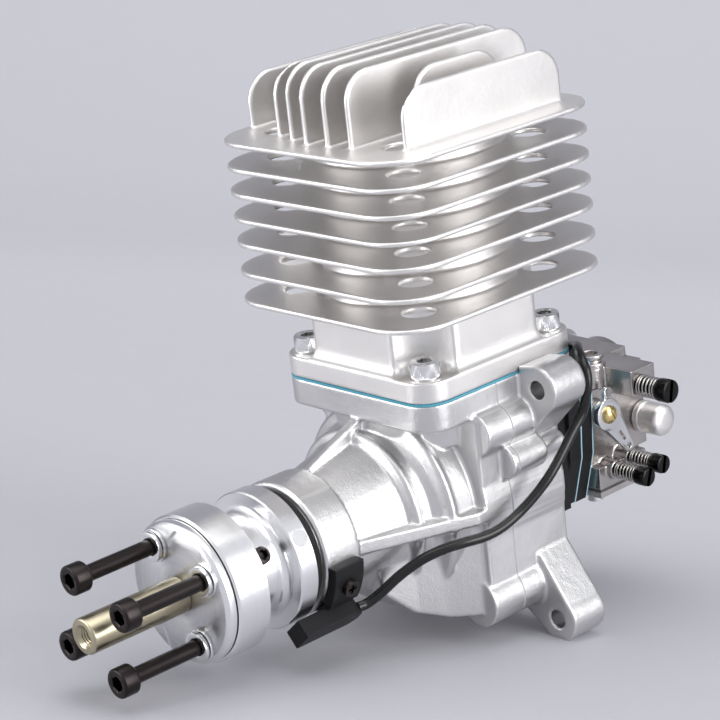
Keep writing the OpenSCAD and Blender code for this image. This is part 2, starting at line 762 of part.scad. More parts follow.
module sensor_screw() {
    color("dimgray") at_clock(clamp_angle) along_x(housing_d / 2 + clamp_t, housing_y + 5.5) {
        translate([0, 0, -clamp_t - 1.8]) cylinder(d = 2.4, h = clamp_t + 1.8 + eps);
        difference() {
            cylinder(d = 5, h = 1.6);
            for (a = [0, 90]) rotate(a) translate([0, 0, 1.5]) cube([3, 0.7, 1.4], center = true);
        }
    }
}

module sensor_bar() {
    inner = max(housing_d / 2, hub_rear_d / 2) + bar_clearance;
    foot_y = nose_y - 1 - bar_len;
    clock = min(bar_angle, clamp_angle - clamp_arc / 2 - asin(bar_w / housing_d) - 0.5);
    color("black") at_clock(clock) {
        translate([inner, foot_y, -bar_w / 2]) cube([bar_t, bar_len - bar_w / 2, bar_w]);
        translate([inner, nose_y - 1 - bar_w / 2, 0]) rotate([0, 90, 0]) cylinder(d = bar_w, h = bar_t);
        translate([housing_d / 2 + 0.05, housing_y + 1, -bar_w / 2]) cube([2, 9, bar_w]);
    }
}

// Tube swept along a route: one ring of points at each place, square to the route
function unit(v) = v / norm(v);
function heading_at(p, i) = unit(p[min(i + 1, len(p) - 1)] - p[max(i - 1, 0)]);
function side_of(t) = unit(cross(t, [0.13, 0.31, 0.94]));
function ring_at(p, i, r, n) =
    let (t = heading_at(p, i), u = side_of(t), v = cross(t, u))
    [for (k = [0:n - 1]) p[i] + r * (cos(k * 360 / n) * u + sin(k * 360 / n) * v)];

module swept_tube(path, r, n = 8) {
    count = len(path);
    points = [for (i = [0:count - 1]) each ring_at(path, i, r, n)];
    walls = [for (i = [0:count - 2], k = [0:n - 1])
        let (a = i * n + k, b = i * n + (k + 1) % n) [a, a + n, b + n, b]];
    start = [for (k = [0:n - 1]) k];
    end = [for (k = [n - 1:-1:0]) (count - 1) * n + k];
    polyhedron(points, concat([start], walls, [end]), convexity = 10);
}

module sensor_lead() {
    color("black") swept_tube(LEAD_ROUTE, lead_d / 2);
}

module sensor_plug() {
    color("black") difference() {
        translate(LEAD_END + [-plug_len, -4, -lead_d / 2]) cube([plug_len, 8, 3]);
        for (y = [-2.54, 0, 2.54]) translate(LEAD_END + [-plug_len - 1, y - 0.4, -0.4]) cube([7, 0.8, 0.8]);
    }
}

// Crankshaft and drive hub

module crankshaft() {
    color("lightslategray") difference() {
        union() {
            along_y(web_front_y) cylinder(r = web_r, h = web_t);
            along_y(inner_bearing_y) cylinder(d = inner_journal_d, h = web_front_y - inner_bearing_y + eps);
            along_y(inner_seat_end_y) cylinder(d = inner_journal_d + 4, h = web_front_y - inner_seat_end_y + eps);
            along_y(front_bearing_y + front_bearing_w)
                cylinder(d = front_journal_d + 1.4, h = inner_bearing_y - front_bearing_y - front_bearing_w + eps);
            along_y(hub_y + 6) cylinder(d = front_journal_d, h = front_bearing_y + front_bearing_w - hub_y - 6 + eps);
            along_y(-9) cylinder(d = 7, h = hub_y + 15 + eps);
        }
        // Lightening cuts that leave the counterweight below the shaft
        both_sides() along_y(web_front_y - 1, 19, 11) cylinder(r = 9, h = web_t + 2);
        // Keyway in the taper end
        translate([-1.5, neck_y - 1, front_journal_d / 2 - 1.6]) cube([3, 12, 4]);
    }
}

module hub_key() {
    color("gray") translate([-1.5, neck_y - 1, front_journal_d / 2 - 1.6]) cube([3, 12, 3]);
}

module drive_hub() {
    fillet = min(2.6, neck_len / 2 - 1);
    color("gainsboro") difference() {
        union() {
            turned([[0, hub_y], [hub_front_d / 2 - 0.6, hub_y], [hub_front_d / 2, hub_y + 0.6],
                    [hub_front_d / 2, neck_y - 0.4], [hub_front_d / 2 - 0.4, neck_y], [0, neck_y]]);
            turned([[0, rear_flange_y], [hub_rear_d / 2 - 0.4, rear_flange_y], [hub_rear_d / 2, rear_flange_y + 0.4],
                    [hub_rear_d / 2, hub_end_y - 0.4], [hub_rear_d / 2 - 0.4, hub_end_y], [0, hub_end_y]]);
            // Waist with a fillet at each flange
            along_y(neck_y - eps) rotate_extrude() difference() {
                square([neck_d / 2 + fillet, neck_len + 2 * eps]);
                translate([neck_d / 2, fillet]) square([fillet + 1, neck_len - 2 * fillet + 2 * eps]);
                translate([neck_d / 2 + fillet, fillet]) circle(r = fillet);
                translate([neck_d / 2 + fillet, neck_len - fillet + 2 * eps]) circle(r = fillet);
            }
            along_y(hub_end_y - eps) cylinder(d = boss_d, h = hub_gap + seal_t + eps);
        }
        along_y(hub_y - 1) cylinder(d = sleeve_stem_d + 2 * fit_gap, h = 8);
        along_y(hub_y + 6) cylinder(d = front_journal_d, h = 60);
        translate([-1.5, neck_y - 1, 0]) cube([3, 12, front_journal_d / 2 + 1.4]);
        for (a = PROP_BOLTS) at_clock(a) along_y(hub_y - 1, prop_circle_d / 2)
            cylinder(d = prop_bolt_d(), h = hub_front_t + 2);
        at_clock(set_screw_angle) along_x(0, set_screw_y()) cylinder(d = screw_d, h = 30);
        at_clock(magnet_angle) along_x(hub_rear_d / 2 - 2.5, magnet_y()) cylinder(d = magnet_d, h = 5);
    }
}

function prop_bolt_d() = screw_d;
function set_screw_y() = neck_y + neck_len * 0.3;
function magnet_y() = rear_flange_y + hub_rear_t / 2;

module hub_set_screw() {
    color("black") at_clock(set_screw_angle) along_x(front_journal_d / 2, set_screw_y()) difference() {
        cylinder(d = screw_d, h = neck_d / 2 - front_journal_d / 2 + 3.2);
        translate([0, 0, neck_d / 2 - front_journal_d / 2]) cylinder(d = 2.5 / cos(30), h = 5, $fn = 6);
    }
}

module timing_magnet() {
    color("silver") at_clock(magnet_angle) along_x(hub_rear_d / 2 - 2.5, magnet_y()) cylinder(d = magnet_d, h = 2.3);
}

module prop_washer() {
    r = washer_d / 2;
    color("gainsboro") difference() {
        turned([[0, 0], [r - 1.2, 0], [r, 1], [r, washer_t - 0.3], [r - 0.3, washer_t], [0, washer_t]]);
        along_y(-1) cylinder(d = sleeve_stem_d + 2 * fit_gap, h = washer_t + 2);
        at_prop_bolts(-1) cylinder(d = screw_d + 0.4, h = washer_t + 2);
    }
}

module at_prop_bolts(y) {
    for (a = PROP_BOLTS) at_clock(a) along_y(y, prop_circle_d / 2) children();
}

module prop_bolts() {
    color("black") at_prop_bolts(-prop_grip) mirror([0, 0, 1]) cap_screw(screw_d, prop_grip + prop_bolt_depth);
}

module prop_spring_washers() {
    color("gray") at_prop_bolts(-2.3) difference() {
        ring(screw_head_d / 2 + 0.1, screw_d / 2 + 0.15, 1.3);
        rotate(40) translate([0, -0.5, -1]) cube([8, 1, 4]);
    }
}

module prop_flat_washers() {
    color("gainsboro") at_prop_bolts(-1) ring(screw_head_d / 2 + 0.7, screw_d / 2 + 0.2, 1);
}

module centre_sleeve() {
    color("khaki") difference() {
        union() {
            along_y(-sleeve_reach) cylinder(d1 = sleeve_d - 1, d2 = sleeve_d, h = 0.5);
            along_y(-sleeve_reach + 0.5) cylinder(d = sleeve_d, h = sleeve_reach - 0.5);
            along_y(-eps) cylinder(d = sleeve_stem_d, h = hub_y + 6 + eps);
        }
        along_y(-sleeve_reach - 1) cylinder(d = sleeve_core_d, h = 19);
        along_y(-sleeve_reach - eps) cylinder(d1 = sleeve_core_d + 3, d2 = sleeve_core_d, h = 1.5);
        along_y(-10) cylinder(d = 7, h = 40);
    }
}

// Piston and connecting rod, drawn at top dead centre

module crank_pin() {
    color("lightslategray") along_y(pin_front_y, 0, crank_r) cylinder(d = crankpin_d, h = pin_back_y - pin_front_y);
}

module big_end_bearing() {
    count = 16;
    middle_r = (crankpin_d / 2 + big_end_bore_r) / 2;
    roller_r = needle_t / 2 - 0.05;
    color("white") along_y(cyl_y - rod_w / 2 + 0.2, 0, crank_r) {
        ring(middle_r + 0.3, middle_r - 0.3, rod_w - 0.4);
        for (i = [0:count - 1]) rotate(i * 360 / count) translate([middle_r, 0, 0.6])
            cylinder(r = roller_r, h = rod_w - 1.6, $fn = 32);
    }
}

module connecting_rod() {
    low = crank_r + big_end_r - 1;
    high = pin_z - small_end_r + 1;
    color("slategray") difference() {
        union() {
            along_y(cyl_y - rod_w / 2, 0, crank_r) cylinder(r = big_end_r, h = rod_w);
            along_y(cyl_y - rod_w / 2, 0, pin_z) cylinder(r = small_end_r, h = rod_w);
            between_y(cyl_y - 3.2, cyl_y + 3.2) polygon([[-7, low], [7, low], [5, high], [-5, high]]);
        }
        along_y(cyl_y - 10, 0, crank_r) cylinder(r = big_end_bore_r, h = 20);
        along_y(cyl_y - 10, 0, pin_z) cylinder(d = wrist_pin_d, h = 20);
        // Grooves that leave an I section
        for (s = [-1, 1]) translate([0, s * 3.2, 0]) between_y(cyl_y - 1.9, cyl_y + 1.9)
            polygon([[-4.4, low + 3], [4.4, low + 3], [3, high - 3], [-3, high - 3]]);
    }
}

module wrist_pin() {
    color("lightgray") along_y(cyl_y - piston_r + 5, 0, pin_z)
        ring(wrist_pin_d / 2, wrist_pin_d / 2 - 2, 2 * piston_r - 10);
}

module pin_circlips() {
    color("dimgray") for (s = [-1, 1]) along_y(cyl_y + s * (piston_r - 4.5) - 0.5, 0, pin_z)
        ring(wrist_pin_d / 2 + 0.3, wrist_pin_d / 2 - 0.8, 1);
}

module piston() {
    color("lightgray") difference() {
        translate([0, cyl_y, skirt_z]) cylinder(r = piston_r, h = crown_z - skirt_z);
        difference() {
            translate([0, cyl_y, skirt_z - 1]) cylinder(r = piston_r - piston_wall, h = crown_z - skirt_z + 1 - crown_t);
            for (s = [-1, 1]) translate([0, s * (rod_w / 2 + 0.8 + 15), 0]) intersection() {
                along_y(cyl_y - 15, 0, pin_z) cylinder(r = wrist_pin_d / 2 + 3, h = 30);
                slab(cyl_y - 15, cyl_y + 15);
            }
        }
        along_y(cyl_y - 40, 0, pin_z) cylinder(d = wrist_pin_d, h = 80);
        for (s = [-1, 1]) along_y(cyl_y + s * (piston_r - 4.5) - 0.5, 0, pin_z) cylinder(d = wrist_pin_d + 0.6, h = 1);
        translate([0, cyl_y, ring_z - 0.05]) ring(piston_r + 1, piston_r - 2.2, ring_h + 0.1);
    }
}

module piston_ring() {
    color("dimgray") translate([0, cyl_y, ring_z]) difference() {
        ring(bore_r - 0.02, piston_r - 2.1, ring_h);
        translate([-far / 2 - 0, -0.15, -1]) cube([far / 2, 0.3, 5]);
    }
}

// Intake

// Outline of the carburettor flange: wide above, narrow below
module flange_outline() {
    low = pad_low_z - 0.5;
    polygon([[17.5, low], [22, -2], [23.5, 20], [23.5, 27], [18, 31],
             [-18, 31], [-23.5, 27], [-23.5, 20], [-22, -2], [-17.5, low]]);
}

module flange_plate(y0, y1) {
    difference() {
        between_y(y0, y1) flange_outline();
        along_y(y0 - 1, 0, carb_z) cylinder(d = throat_d + 0.6, h = y1 - y0 + 2);
        at_carb_screws(y0 - 1) cylinder(d = screw_d, h = y1 - y0 + 2);
    }
}

module at_carb_screws(y) {
    along_y(y, -15.2, carb_z + 8.4) children();
    along_y(y, 14.4, carb_z - 11.4) children();
}

module manifold_gasket() {
    color("dimgray") difference() {
        between_y(pad_y, manifold_y) translate([-pad_half_w, pad_low_z])
            square([2 * pad_half_w, pad_high_z - pad_low_z]);
        between_y(pad_y - 1, manifold_y + 1) translate([0, reed_z]) square([22, 18], center = true);
        at_manifold_screws(pad_y - 1) cylinder(d = 4.4, h = 3);
    }
}

module reed_block() {
    tip = chamber_back_y + 1.6;
    base = pad_y - 1.5;
    color("dimgray") difference() {
        union() {
            between_y(base, pad_y) translate([0, reed_z]) square([30.6, 25.6], center = true);
            between_x(-11, 11) polygon([[base + eps, reed_z - 9.5], [tip, reed_z - 1], [tip, reed_z + 1], [base + eps, reed_z + 9.5]]);
        }
        between_x(-9, 9) polygon([[pad_y + 1, reed_z - 8.3], [tip + 3.5, reed_z - 0.6], [tip + 3.5, reed_z + 0.6], [pad_y + 1, reed_z + 8.3]]);
        for (sx = [-1, 1]) translate([sx * 4.7, (tip + base) / 2 + 0.5, reed_z]) cube([7, 6, 30], center = true);
    }
}

module reed_petals() {
    tip = chamber_back_y + 1.6;
    base = pad_y - 1.5;
    color("tan") for (s = [-1, 1]) translate([0, 0, reed_z]) mirror([0, 0, s < 0 ? 1 : 0]) between_x(-10, 10)
        polygon([[base, 9.5], [tip, 1], [tip, 1.35], [base, 9.85]]);
}

module manifold_block() {
    color("black") difference() {
        union() {
            between_y(manifold_y, manifold_flange_y + eps) translate([-pad_half_w + 0.2, pad_low_z])
                square([2 * pad_half_w - 0.4, pad_high_z - pad_low_z]);
            between_y(manifold_flange_y, gasket_one_y) flange_outline();
        }
        between_y(manifold_y - 1, manifold_flange_y) translate([0, reed_z]) square([20, 16], center = true);
        along_y(manifold_flange_y - 2, 0, carb_z) cylinder(r = throat_r + 0.3, h = 20);
        at_manifold_screws(manifold_y - 1) cylinder(d = 4.4, h = 40);
        at_manifold_screws(gasket_one_y - 4.2) cylinder(d = 7.4, h = 20);
        at_carb_screws(gasket_one_y - 9) cylinder(d = screw_d, h = 20);
    }
}

module manifold_screws() {
    len = gasket_one_y - 4.2 - pad_y + 4;
    color("lightgray") at_manifold_screws(gasket_one_y - 4.2) cap_screw(4, len, 7, 4, 3);
}

module spacer_gasket() {
    color("lightskyblue") flange_plate(gasket_one_y, spacer_y);
}

module spacer_plate() {
    color("black") flange_plate(spacer_y, gasket_two_y);
}

module carb_gasket() {
    color("lightskyblue") flange_plate(gasket_two_y, carb_y);
}

// Carburettor

// Places a child that stands along +Z at a screw beside the throttle shaft, along +X
module beside_throttle(at, x) {
    along_x(x, throttle_y + at[0], carb_z + at[1]) children();
}

module carb_body() {
    back = carb_back_y;
    color("dimgray") difference() {
        union() {
            // Main block with a stepped top, and the metering chamber below it
            translate([-carb_half_w, carb_y, carb_floor_z]) cube([2 * carb_half_w, carb_len, carb_top_z - carb_floor_z - 3]);
            translate([-13, carb_y, carb_floor_z]) cube([26, carb_len, carb_top_z - carb_floor_z]);
            translate([-carb_half_w + 1, carb_y + 1.5, sump_floor_z])
                cube([carb_half_w - 1 + lever_x - 2, carb_len - 6, carb_floor_z - sump_floor_z + eps]);
            along_y(back - eps, 0, carb_z) cylinder(r = throat_r + 2.8, h = collar_len + eps);
            // Boss of the idle screw and bosses of the two needles
            translate([10, throttle_y + IDLE_AT[0] - 4.2, carb_z + IDLE_AT[1] - 2.6]) cube([idle_x - 10, 10.6, 8.1]);
            beside_throttle(RICH_AT, 12) cylinder(r = 3, h = lever_x - 12);
            beside_throttle(LEAN_AT, 12) cylinder(r = 3, h = lever_x - 12);
            along_x(carb_half_w - 1, throttle_y, carb_z) cylinder(d = shaft_d + 2.4, h = 1.6);
            translate([NIPPLE_AT[0], throttle_y + NIPPLE_AT[1], carb_top_z - 6.4]) cylinder(r = 4.2, h = 6.4);
        }
        // Throat with its venturi waist
        along_y(carb_y - 1, 0, carb_z) cylinder(d = throat_d, h = carb_len + collar_len + 2);
        // Shaft bores and screw threads
        along_x(-40, throttle_y, carb_z) cylinder(d = shaft_d + 2 * fit_gap, h = 80);
        along_x(-40, choke_y, carb_z) cylinder(d = shaft_d + 2 * fit_gap, h = 40 + throat_r + 3.3);
        beside_throttle(IDLE_AT, 6) cylinder(d = 4 + 2 * fit_gap, h = 40);
        beside_throttle(RICH_AT, 8) cylinder(d = 3 + 2 * fit_gap, h = 40);
        beside_throttle(LEAN_AT, 8) cylinder(d = 3 + 2 * fit_gap, h = 40);
        at_carb_screws(carb_y - 1) cylinder(d = screw_d + 0.4, h = carb_len + 2);
        // Metering chamber and the tapped holes of the pump cover
        translate([-12, carb_y + 5.5, sump_floor_z - 1]) cube([24, carb_len - 14, 5]);
        at_pump_screws(sump_floor_z - 1) cylinder(d = 3, h = 7);
    }
}

module at_pump_screws(z) {
    for (sx = [-15.5, 17.5], dy = [4, carb_len - 7]) translate([sx, carb_y + dy, z]) children();
}

module pump_plate(z0, t) {
    difference() {
        translate([-carb_half_w + 1, carb_y + 1.5, z0]) cube([carb_half_w - 1 + lever_x - 2, carb_len - 6, t]);
        at_pump_screws(z0 - 1) cylinder(d = 3.4, h = t + 2);
    }
}

module pump_gasket() {
    color("black") pump_plate(sump_floor_z - 0.8, 0.8);
}

module pump_cover() {
    color("dimgray") {
        pump_plate(sump_floor_z - 2.6, 1.8);
        translate([0, carb_y + carb_len / 2 - 1.5, sump_floor_z - 4]) cylinder(r = 8, h = 1.4 + eps);
    }
}

module pump_screws() {
    color("lightgray") at_pump_screws(sump_floor_z - 2.6) mirror([0, 0, 1]) {
        cylinder(d = 5, h = 1.8);
        translate([0, 0, -7]) cylinder(d = 3, h = 7 + eps);
    }
}

module carb_screws() {
    depth = carb_len + gasket_two_y + carb_gasket_t - gasket_one_y + 8;
    color("lightgray") at_carb_screws(carb_back_y) cap_screw(screw_d, depth);
}

module fuel_union() {
    color("gainsboro") beside_throttle(UNION_AT, carb_half_w) {
        cylinder(r = 4.7, h = 7);
        translate([0, 0, 7]) sphere(r = 4.7);
    }
}

module fuel_nipple() {
    color("silver") translate([NIPPLE_AT[0], throttle_y + NIPPLE_AT[1], carb_top_z]) difference() {
        union() {
            cylinder(r = 3.9, h = 1.2);
            cylinder(r = 2.7, h = 4);
            translate([0, 0, 3]) cylinder(r = 3.4, h = 1.8);
        }
        translate([0, 0, -1]) cylinder(r = 1.4, h = 10);
    }
}

module throttle_shaft() {
    color("lightgray") difference() {
        along_x(-carb_half_w - 1.5, throttle_y, carb_z) cylinder(d = shaft_d, h = carb_half_w + 1.2 + lever_x);
        along_x(lever_x - 3, throttle_y, carb_z) cylinder(d = 3, h = 10);
        translate([-throat_r + 0.5, throttle_y, carb_z]) rotate([throttle_tilt(), 0, 0])
            translate([0, -butterfly_t / 2, -throat_r]) cube([throat_d - 1, butterfly_t, throat_d]);
    }
}

// The butterfly stands square to the throat when the throttle is shut
function throttle_tilt() = 10;

// Round butterfly with two small bites where the shaft would rub in its bore
module butterfly(tilt, y) {
    translate([0, y, carb_z]) rotate([tilt, 0, 0]) intersection() {
        along_y(-butterfly_t / 2) cylinder(r = throat_r - 0.25, h = butterfly_t);
        cube([throat_d - 1.04, 40, 40], center = true);
    }
}

module throttle_plate() {
    color("khaki") butterfly(throttle_tilt(), throttle_y);
}

// Throttle lever about its own axis, along +Z: long arm towards +X, short arm beside it
module lever_blank() {
    hub_r = 5;
    tip_r = 2;
    translate([0, 0, -0.3]) cylinder(r = hub_r, h = lever_t + 0.6);
    translate([lever_len, 0, 0]) cylinder(r = tip_r, h = lever_t);
    linear_extrude(lever_t)
        polygon([[0, 0.97 * hub_r], [lever_len, 0.93 * tip_r], [lever_len, -0.93 * tip_r], [0, -0.97 * hub_r]]);
    rotate(141.5) {
        translate([6.5, 0, 0]) cylinder(r = tip_r, h = lever_t);
        translate([0, -1.85, 0]) cube([6.5, 3.7, lever_t]);
    }
}

module throttle_lever() {
    color("gainsboro") translate([lever_x, throttle_y, carb_z]) rotate([90, 0, 90]) rotate(-57.5) difference() {
        lever_blank();
        translate([0, 0, -1]) cylinder(d = 3, h = 5);
        translate([lever_len, 0, -1]) cylinder(d = 1.8, h = 5);
        translate([8, -0.5, -1]) cube([4, 1, 5]);
    }
}

module lever_screw() {
    color("gold") along_x(lever_x - 3, throttle_y, carb_z) {
        cylinder(d = 3, h = 3.3 + lever_t + eps);
        translate([0, 0, 3.3 + lever_t]) difference() {
            cylinder(d = 5.6, h = 1.5);
            translate([0, 0, 1.4]) cube([8, 0.8, 1], center = true);
        }
    }
}

// Closed rings stand for the turns of each small spring
module spring_turns(r, wire_d, pitch, turns) {
    for (i = [0:turns - 1]) translate([0, 0, i * pitch + wire_d / 2])
        rotate_extrude() translate([r, 0]) circle(d = wire_d);
}

// One coil: turns joined by a thin liner, so that the coil is one solid
module coil(r, wire_d, pitch, turns) {
    spring_turns(r, wire_d, pitch, turns);
    ring(r + wire_d * 0.15, r - wire_d * 0.15, (turns - 1) * pitch + wire_d);
}

module return_spring() {
    gap = lever_x - carb_half_w - 0.9;
    turns = floor((gap - return_wire_d) / (return_wire_d + 0.1)) + 1;
    color("silver") along_x(carb_half_w + 0.6, throttle_y, carb_z)
        coil(shaft_d / 2 + 1.2, return_wire_d, (gap - return_wire_d) / (turns - 1), turns);
}

module choke_shaft() {
    color("lightgray") {
        difference() {
            along_x(-carb_half_w - 3, choke_y, carb_z) cylinder(d = shaft_d, h = carb_half_w + 3 + throat_r + 3);
            translate([-throat_r + 0.5, choke_y - throat_r, carb_z - butterfly_t / 2])
                cube([throat_d - 1, throat_d, butterfly_t]);
        }
        translate([0, choke_y, carb_z]) between_x(-carb_half_w - 3 - lever_t, -carb_half_w - 3) {
            circle(r = 4);
            translate([0, -2.5]) square([13, 5]);
            translate([13, 0]) circle(r = 2.5);
        }
    }
}

module choke_plate() {
    color("khaki") butterfly(90, choke_y);
}

// Slotted adjusting screw along +X: shank inside the boss, round black head outside
module adjuster(at, seat, shank_d, depth, spring_len, head_d, head_len) {
    beside_throttle(at, seat) {
        translate([0, 0, -depth]) cylinder(d = shank_d, h = depth + spring_len + eps);
        translate([0, 0, spring_len]) difference() {
            cylinder(d = head_d, h = head_len);
            translate([0, 0, head_len - 1.4]) translate([-0.6, -head_d, 0]) cube([1.2, 2 * head_d, 3]);
        }
    }
}

idle_spring_len = 6.6;
needle_spring_len = 8;

module idle_screw() {
    color("black") adjuster(IDLE_AT, idle_x, 4, 18, idle_spring_len, 7, 5.6);
}

module rich_needle() {
    color("black") adjuster(RICH_AT, needle_x, 3, 14, needle_spring_len, 5.6, 6.4);
}

module lean_needle() {
    color("black") adjuster(LEAN_AT, needle_x, 3, 14, needle_spring_len, 5.6, 6.4);
}

module screw_springs() {
    color("silver") {
        beside_throttle(IDLE_AT, idle_x + 0.1) coil(3, screw_wire_d, (idle_spring_len - 0.3 - screw_wire_d) / 4, 5);
        for (at = [RICH_AT, LEAN_AT]) beside_throttle(at, needle_x)
            coil(2.45, screw_wire_d, (needle_spring_len - 0.3 - screw_wire_d) / 5, 6);
    }
}

crankcase_front();
crankcase_rear();
case_gasket();
case_screws();
cylinder_node();  // cylinder
cylinder_gasket();
cylinder_screws();
bearing_outer_rings();
bearing_balls();
bearing_inner_rings();
front_seal();
sensor_clamp();
sensor_screw();
sensor_bar();
sensor_lead();
sensor_plug();
crankshaft();
hub_key();
drive_hub();
hub_set_screw();
timing_magnet();
prop_washer();
prop_bolts();
prop_spring_washers();
prop_flat_washers();
centre_sleeve();
crank_pin();
big_end_bearing();
connecting_rod();
wrist_pin();
pin_circlips();
piston();
piston_ring();
manifold_gasket();
reed_block();
reed_petals();
manifold_block();
manifold_screws();
spacer_gasket();
spacer_plate();
carb_gasket();
carb_body();
carb_screws();
fuel_union();
fuel_nipple();
pump_gasket();
pump_cover();
pump_screws();
throttle_shaft();
throttle_plate();
throttle_lever();
lever_screw();
return_spring();
choke_shaft();
choke_plate();
idle_screw();
rich_needle();
lean_needle();
screw_springs();
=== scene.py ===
# %% [markdown]
# # A model aircraft engine on a pale studio table
#
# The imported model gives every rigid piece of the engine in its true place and
# size. This lesson loads it, sets up the camera, the table and the light, gives
# each piece the finish of the real one, and makes new meshes for the pieces
# whose real forms are softer or finer than their solids: castings with filleted
# edges, wound springs, threaded screws and the sensor lead.

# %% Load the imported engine
import json
import math

import bmesh
import bpy
from mathutils import Matrix, Vector

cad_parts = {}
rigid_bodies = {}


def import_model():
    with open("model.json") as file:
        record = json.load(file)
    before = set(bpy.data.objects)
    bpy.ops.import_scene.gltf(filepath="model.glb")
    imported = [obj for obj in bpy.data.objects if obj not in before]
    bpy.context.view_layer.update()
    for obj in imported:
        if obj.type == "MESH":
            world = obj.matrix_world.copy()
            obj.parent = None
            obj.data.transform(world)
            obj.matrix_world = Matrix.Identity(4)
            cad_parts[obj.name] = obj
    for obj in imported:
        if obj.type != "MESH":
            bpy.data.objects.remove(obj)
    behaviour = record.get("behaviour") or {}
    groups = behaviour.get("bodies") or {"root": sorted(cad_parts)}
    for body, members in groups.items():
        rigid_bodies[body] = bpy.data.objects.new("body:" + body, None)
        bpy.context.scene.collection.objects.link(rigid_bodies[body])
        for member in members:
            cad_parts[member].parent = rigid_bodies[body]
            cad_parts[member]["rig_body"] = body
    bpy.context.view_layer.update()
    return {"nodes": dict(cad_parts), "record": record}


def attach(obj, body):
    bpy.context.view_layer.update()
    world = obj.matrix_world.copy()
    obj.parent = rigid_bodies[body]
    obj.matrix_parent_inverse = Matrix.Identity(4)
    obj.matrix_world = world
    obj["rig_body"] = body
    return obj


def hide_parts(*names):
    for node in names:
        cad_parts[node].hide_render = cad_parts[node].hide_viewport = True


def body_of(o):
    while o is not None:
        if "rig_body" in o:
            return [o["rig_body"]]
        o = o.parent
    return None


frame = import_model()
nodes = frame["nodes"]
MM = 0.001

# %% [markdown]
# ## Camera
#
# The photograph was taken with a long lens from the front left of the engine,
# a little above it, with the camera tipped sideways by six and a half degrees.
# The place and the focal length come from solving the photograph against the
# engine's round and square forms, so the same corner lands on the same pixel.

# %% Camera
CAMERA_AT = Vector((0.49484, -0.35364, 0.25658))
CAMERA_LOOKS_AT = Vector((0.01973, 0.05695, 0.0534))
CAMERA_ROLL = math.radians(-6.53)

camera_data = bpy.data.cameras.new("camera")
camera = bpy.data.objects.new("camera", camera_data)
bpy.context.scene.collection.objects.link(camera)
camera_data.lens = 120.54
camera_data.sensor_width = 36
camera.location = CAMERA_AT
camera.rotation_euler = (CAMERA_LOOKS_AT - CAMERA_AT).to_track_quat("-Z", "Y").to_euler()
camera.rotation_euler.rotate_axis("Z", CAMERA_ROLL)
bpy.context.scene.camera = camera
print("camera", tuple(round(v, 3) for v in camera.location), "lens", camera_data.lens)

# %% [markdown]
# ## The sensor lead
#
# The lead is a limp cable in a shiny black sleeve. It leaves the sensor bar under
# the bearing housing, lies along the side of the nose, rises round the upper
# mounting lug and ends in its small connector on top of the intake manifold. A
# curve with a round bevel is the simplest true model of it: the curve is its
# centre line, and its points are the route that the solid lead also follows.
# Points between the route's own come from a Catmull-Rom spline, which passes
# through each of them without a corner.

# %% Route of the lead
LEAD_ROUTE_MM = [
    (17, 48, -18), (17.6, 51, -17.8), (19.6, 54.5, -15.6), (23.5, 59.5, -10.8), (27.6, 64.5, -7),
    (31, 70, -5), (33.8, 76, -4.4), (35.6, 82, -4.4), (36.6, 88, -3.6), (37.4, 94, -1.4),
    (38.8, 99.6, 2.2), (40.2, 105.4, 7), (40.4, 111, 12), (40.2, 116.4, 17), (40.6, 120.8, 21.6),
    (41.6, 121.6, 26), (42, 122.4, 30.2), (41, 123.2, 34), (38, 124.8, 36.6),
    (34.4, 127.6, 37.6), (31, 131, 37.2), (27, 134, 35.8), (22, 136, 34), (16, 136.6, 32.8),
    (10, 136.6, 32.6),
]
LEAD_DIAMETER = 3 * MM


def through_points(points, steps):
    """Points on a Catmull-Rom spline: the given ones, and steps - 1 between each two."""
    padded = [points[0] * 2 - points[1], *points, points[-1] * 2 - points[-2]]
    route = []
    for i in range(1, len(padded) - 2):
        a, b, c, d = padded[i - 1:i + 3]
        for step in range(steps):
            t = step / steps
            route.append(0.5 * (2 * b + (c - a) * t + (2 * a - 5 * b + 4 * c - d) * t ** 2
                                + (3 * b - a - 3 * c + d) * t ** 3))
    return route + [points[-1]]


def length_of(points):
    return sum((b - a).length for a, b in zip(points, points[1:]))


lead_route = through_points([Vector(p) * MM for p in LEAD_ROUTE_MM], 6)
print("lead", round(length_of(lead_route), 4), "m")


# %% A helper for curves, used for the lead and for bent wire
def tube_curve(name, points, diameter, body):
    """A round tube along an open line of points, whose own radius sets its size."""
    data = bpy.data.curves.new(name, "CURVE")
    data.dimensions = "3D"
    data.bevel_depth = 1
    data.bevel_resolution = 4
    data.use_fill_caps = True
    spline = data.splines.new("POLY")
    spline.points.add(len(points) - 1)
    for point, place in zip(spline.points, points):
        point.co = (*place, 1)
        point.radius = diameter / 2
    spline.use_smooth = True
    piece = bpy.data.objects.new(name, data)
    bpy.context.scene.collection.objects.link(piece)
    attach(piece, body)
    return piece


lead_sleeve = tube_curve("lead_sleeve", lead_route, LEAD_DIAMETER, "engine")
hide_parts("sensor_lead")
print("lead sleeve has", len(lead_route), "points")

# %% [markdown]
# ## Floor, backdrop and world
#
# The engine stands nose-down on a pale table: its lower lugs and its lowest
# propeller bolt touch. So the table is a plane tipped by about ten degrees in
# the engine's own frame. It curves up behind into a backdrop, as a paper roll
# does.

# %% Table plane
LOWEST_LUG = Vector((0, 112.1, -45.7)) * MM
LOWEST_BOLT = Vector((0, -29.6, -21.5)) * MM

along = (LOWEST_LUG - LOWEST_BOLT).normalized()
across = Vector((1, 0, 0))
table_up = across.cross(along).normalized()
print("table is tipped by", round(math.degrees(math.asin(-along.z)), 1), "degrees")

# %% Floor
FRONT_EDGE = -3.0
SWEEP_STARTS = 0.7
SWEEP_RADIUS = 0.6
PAPER_TOP = 4.0
PAPER_HALF_WIDTH = 4.0
away = (across * -0.6 + along * 0.8).normalized()


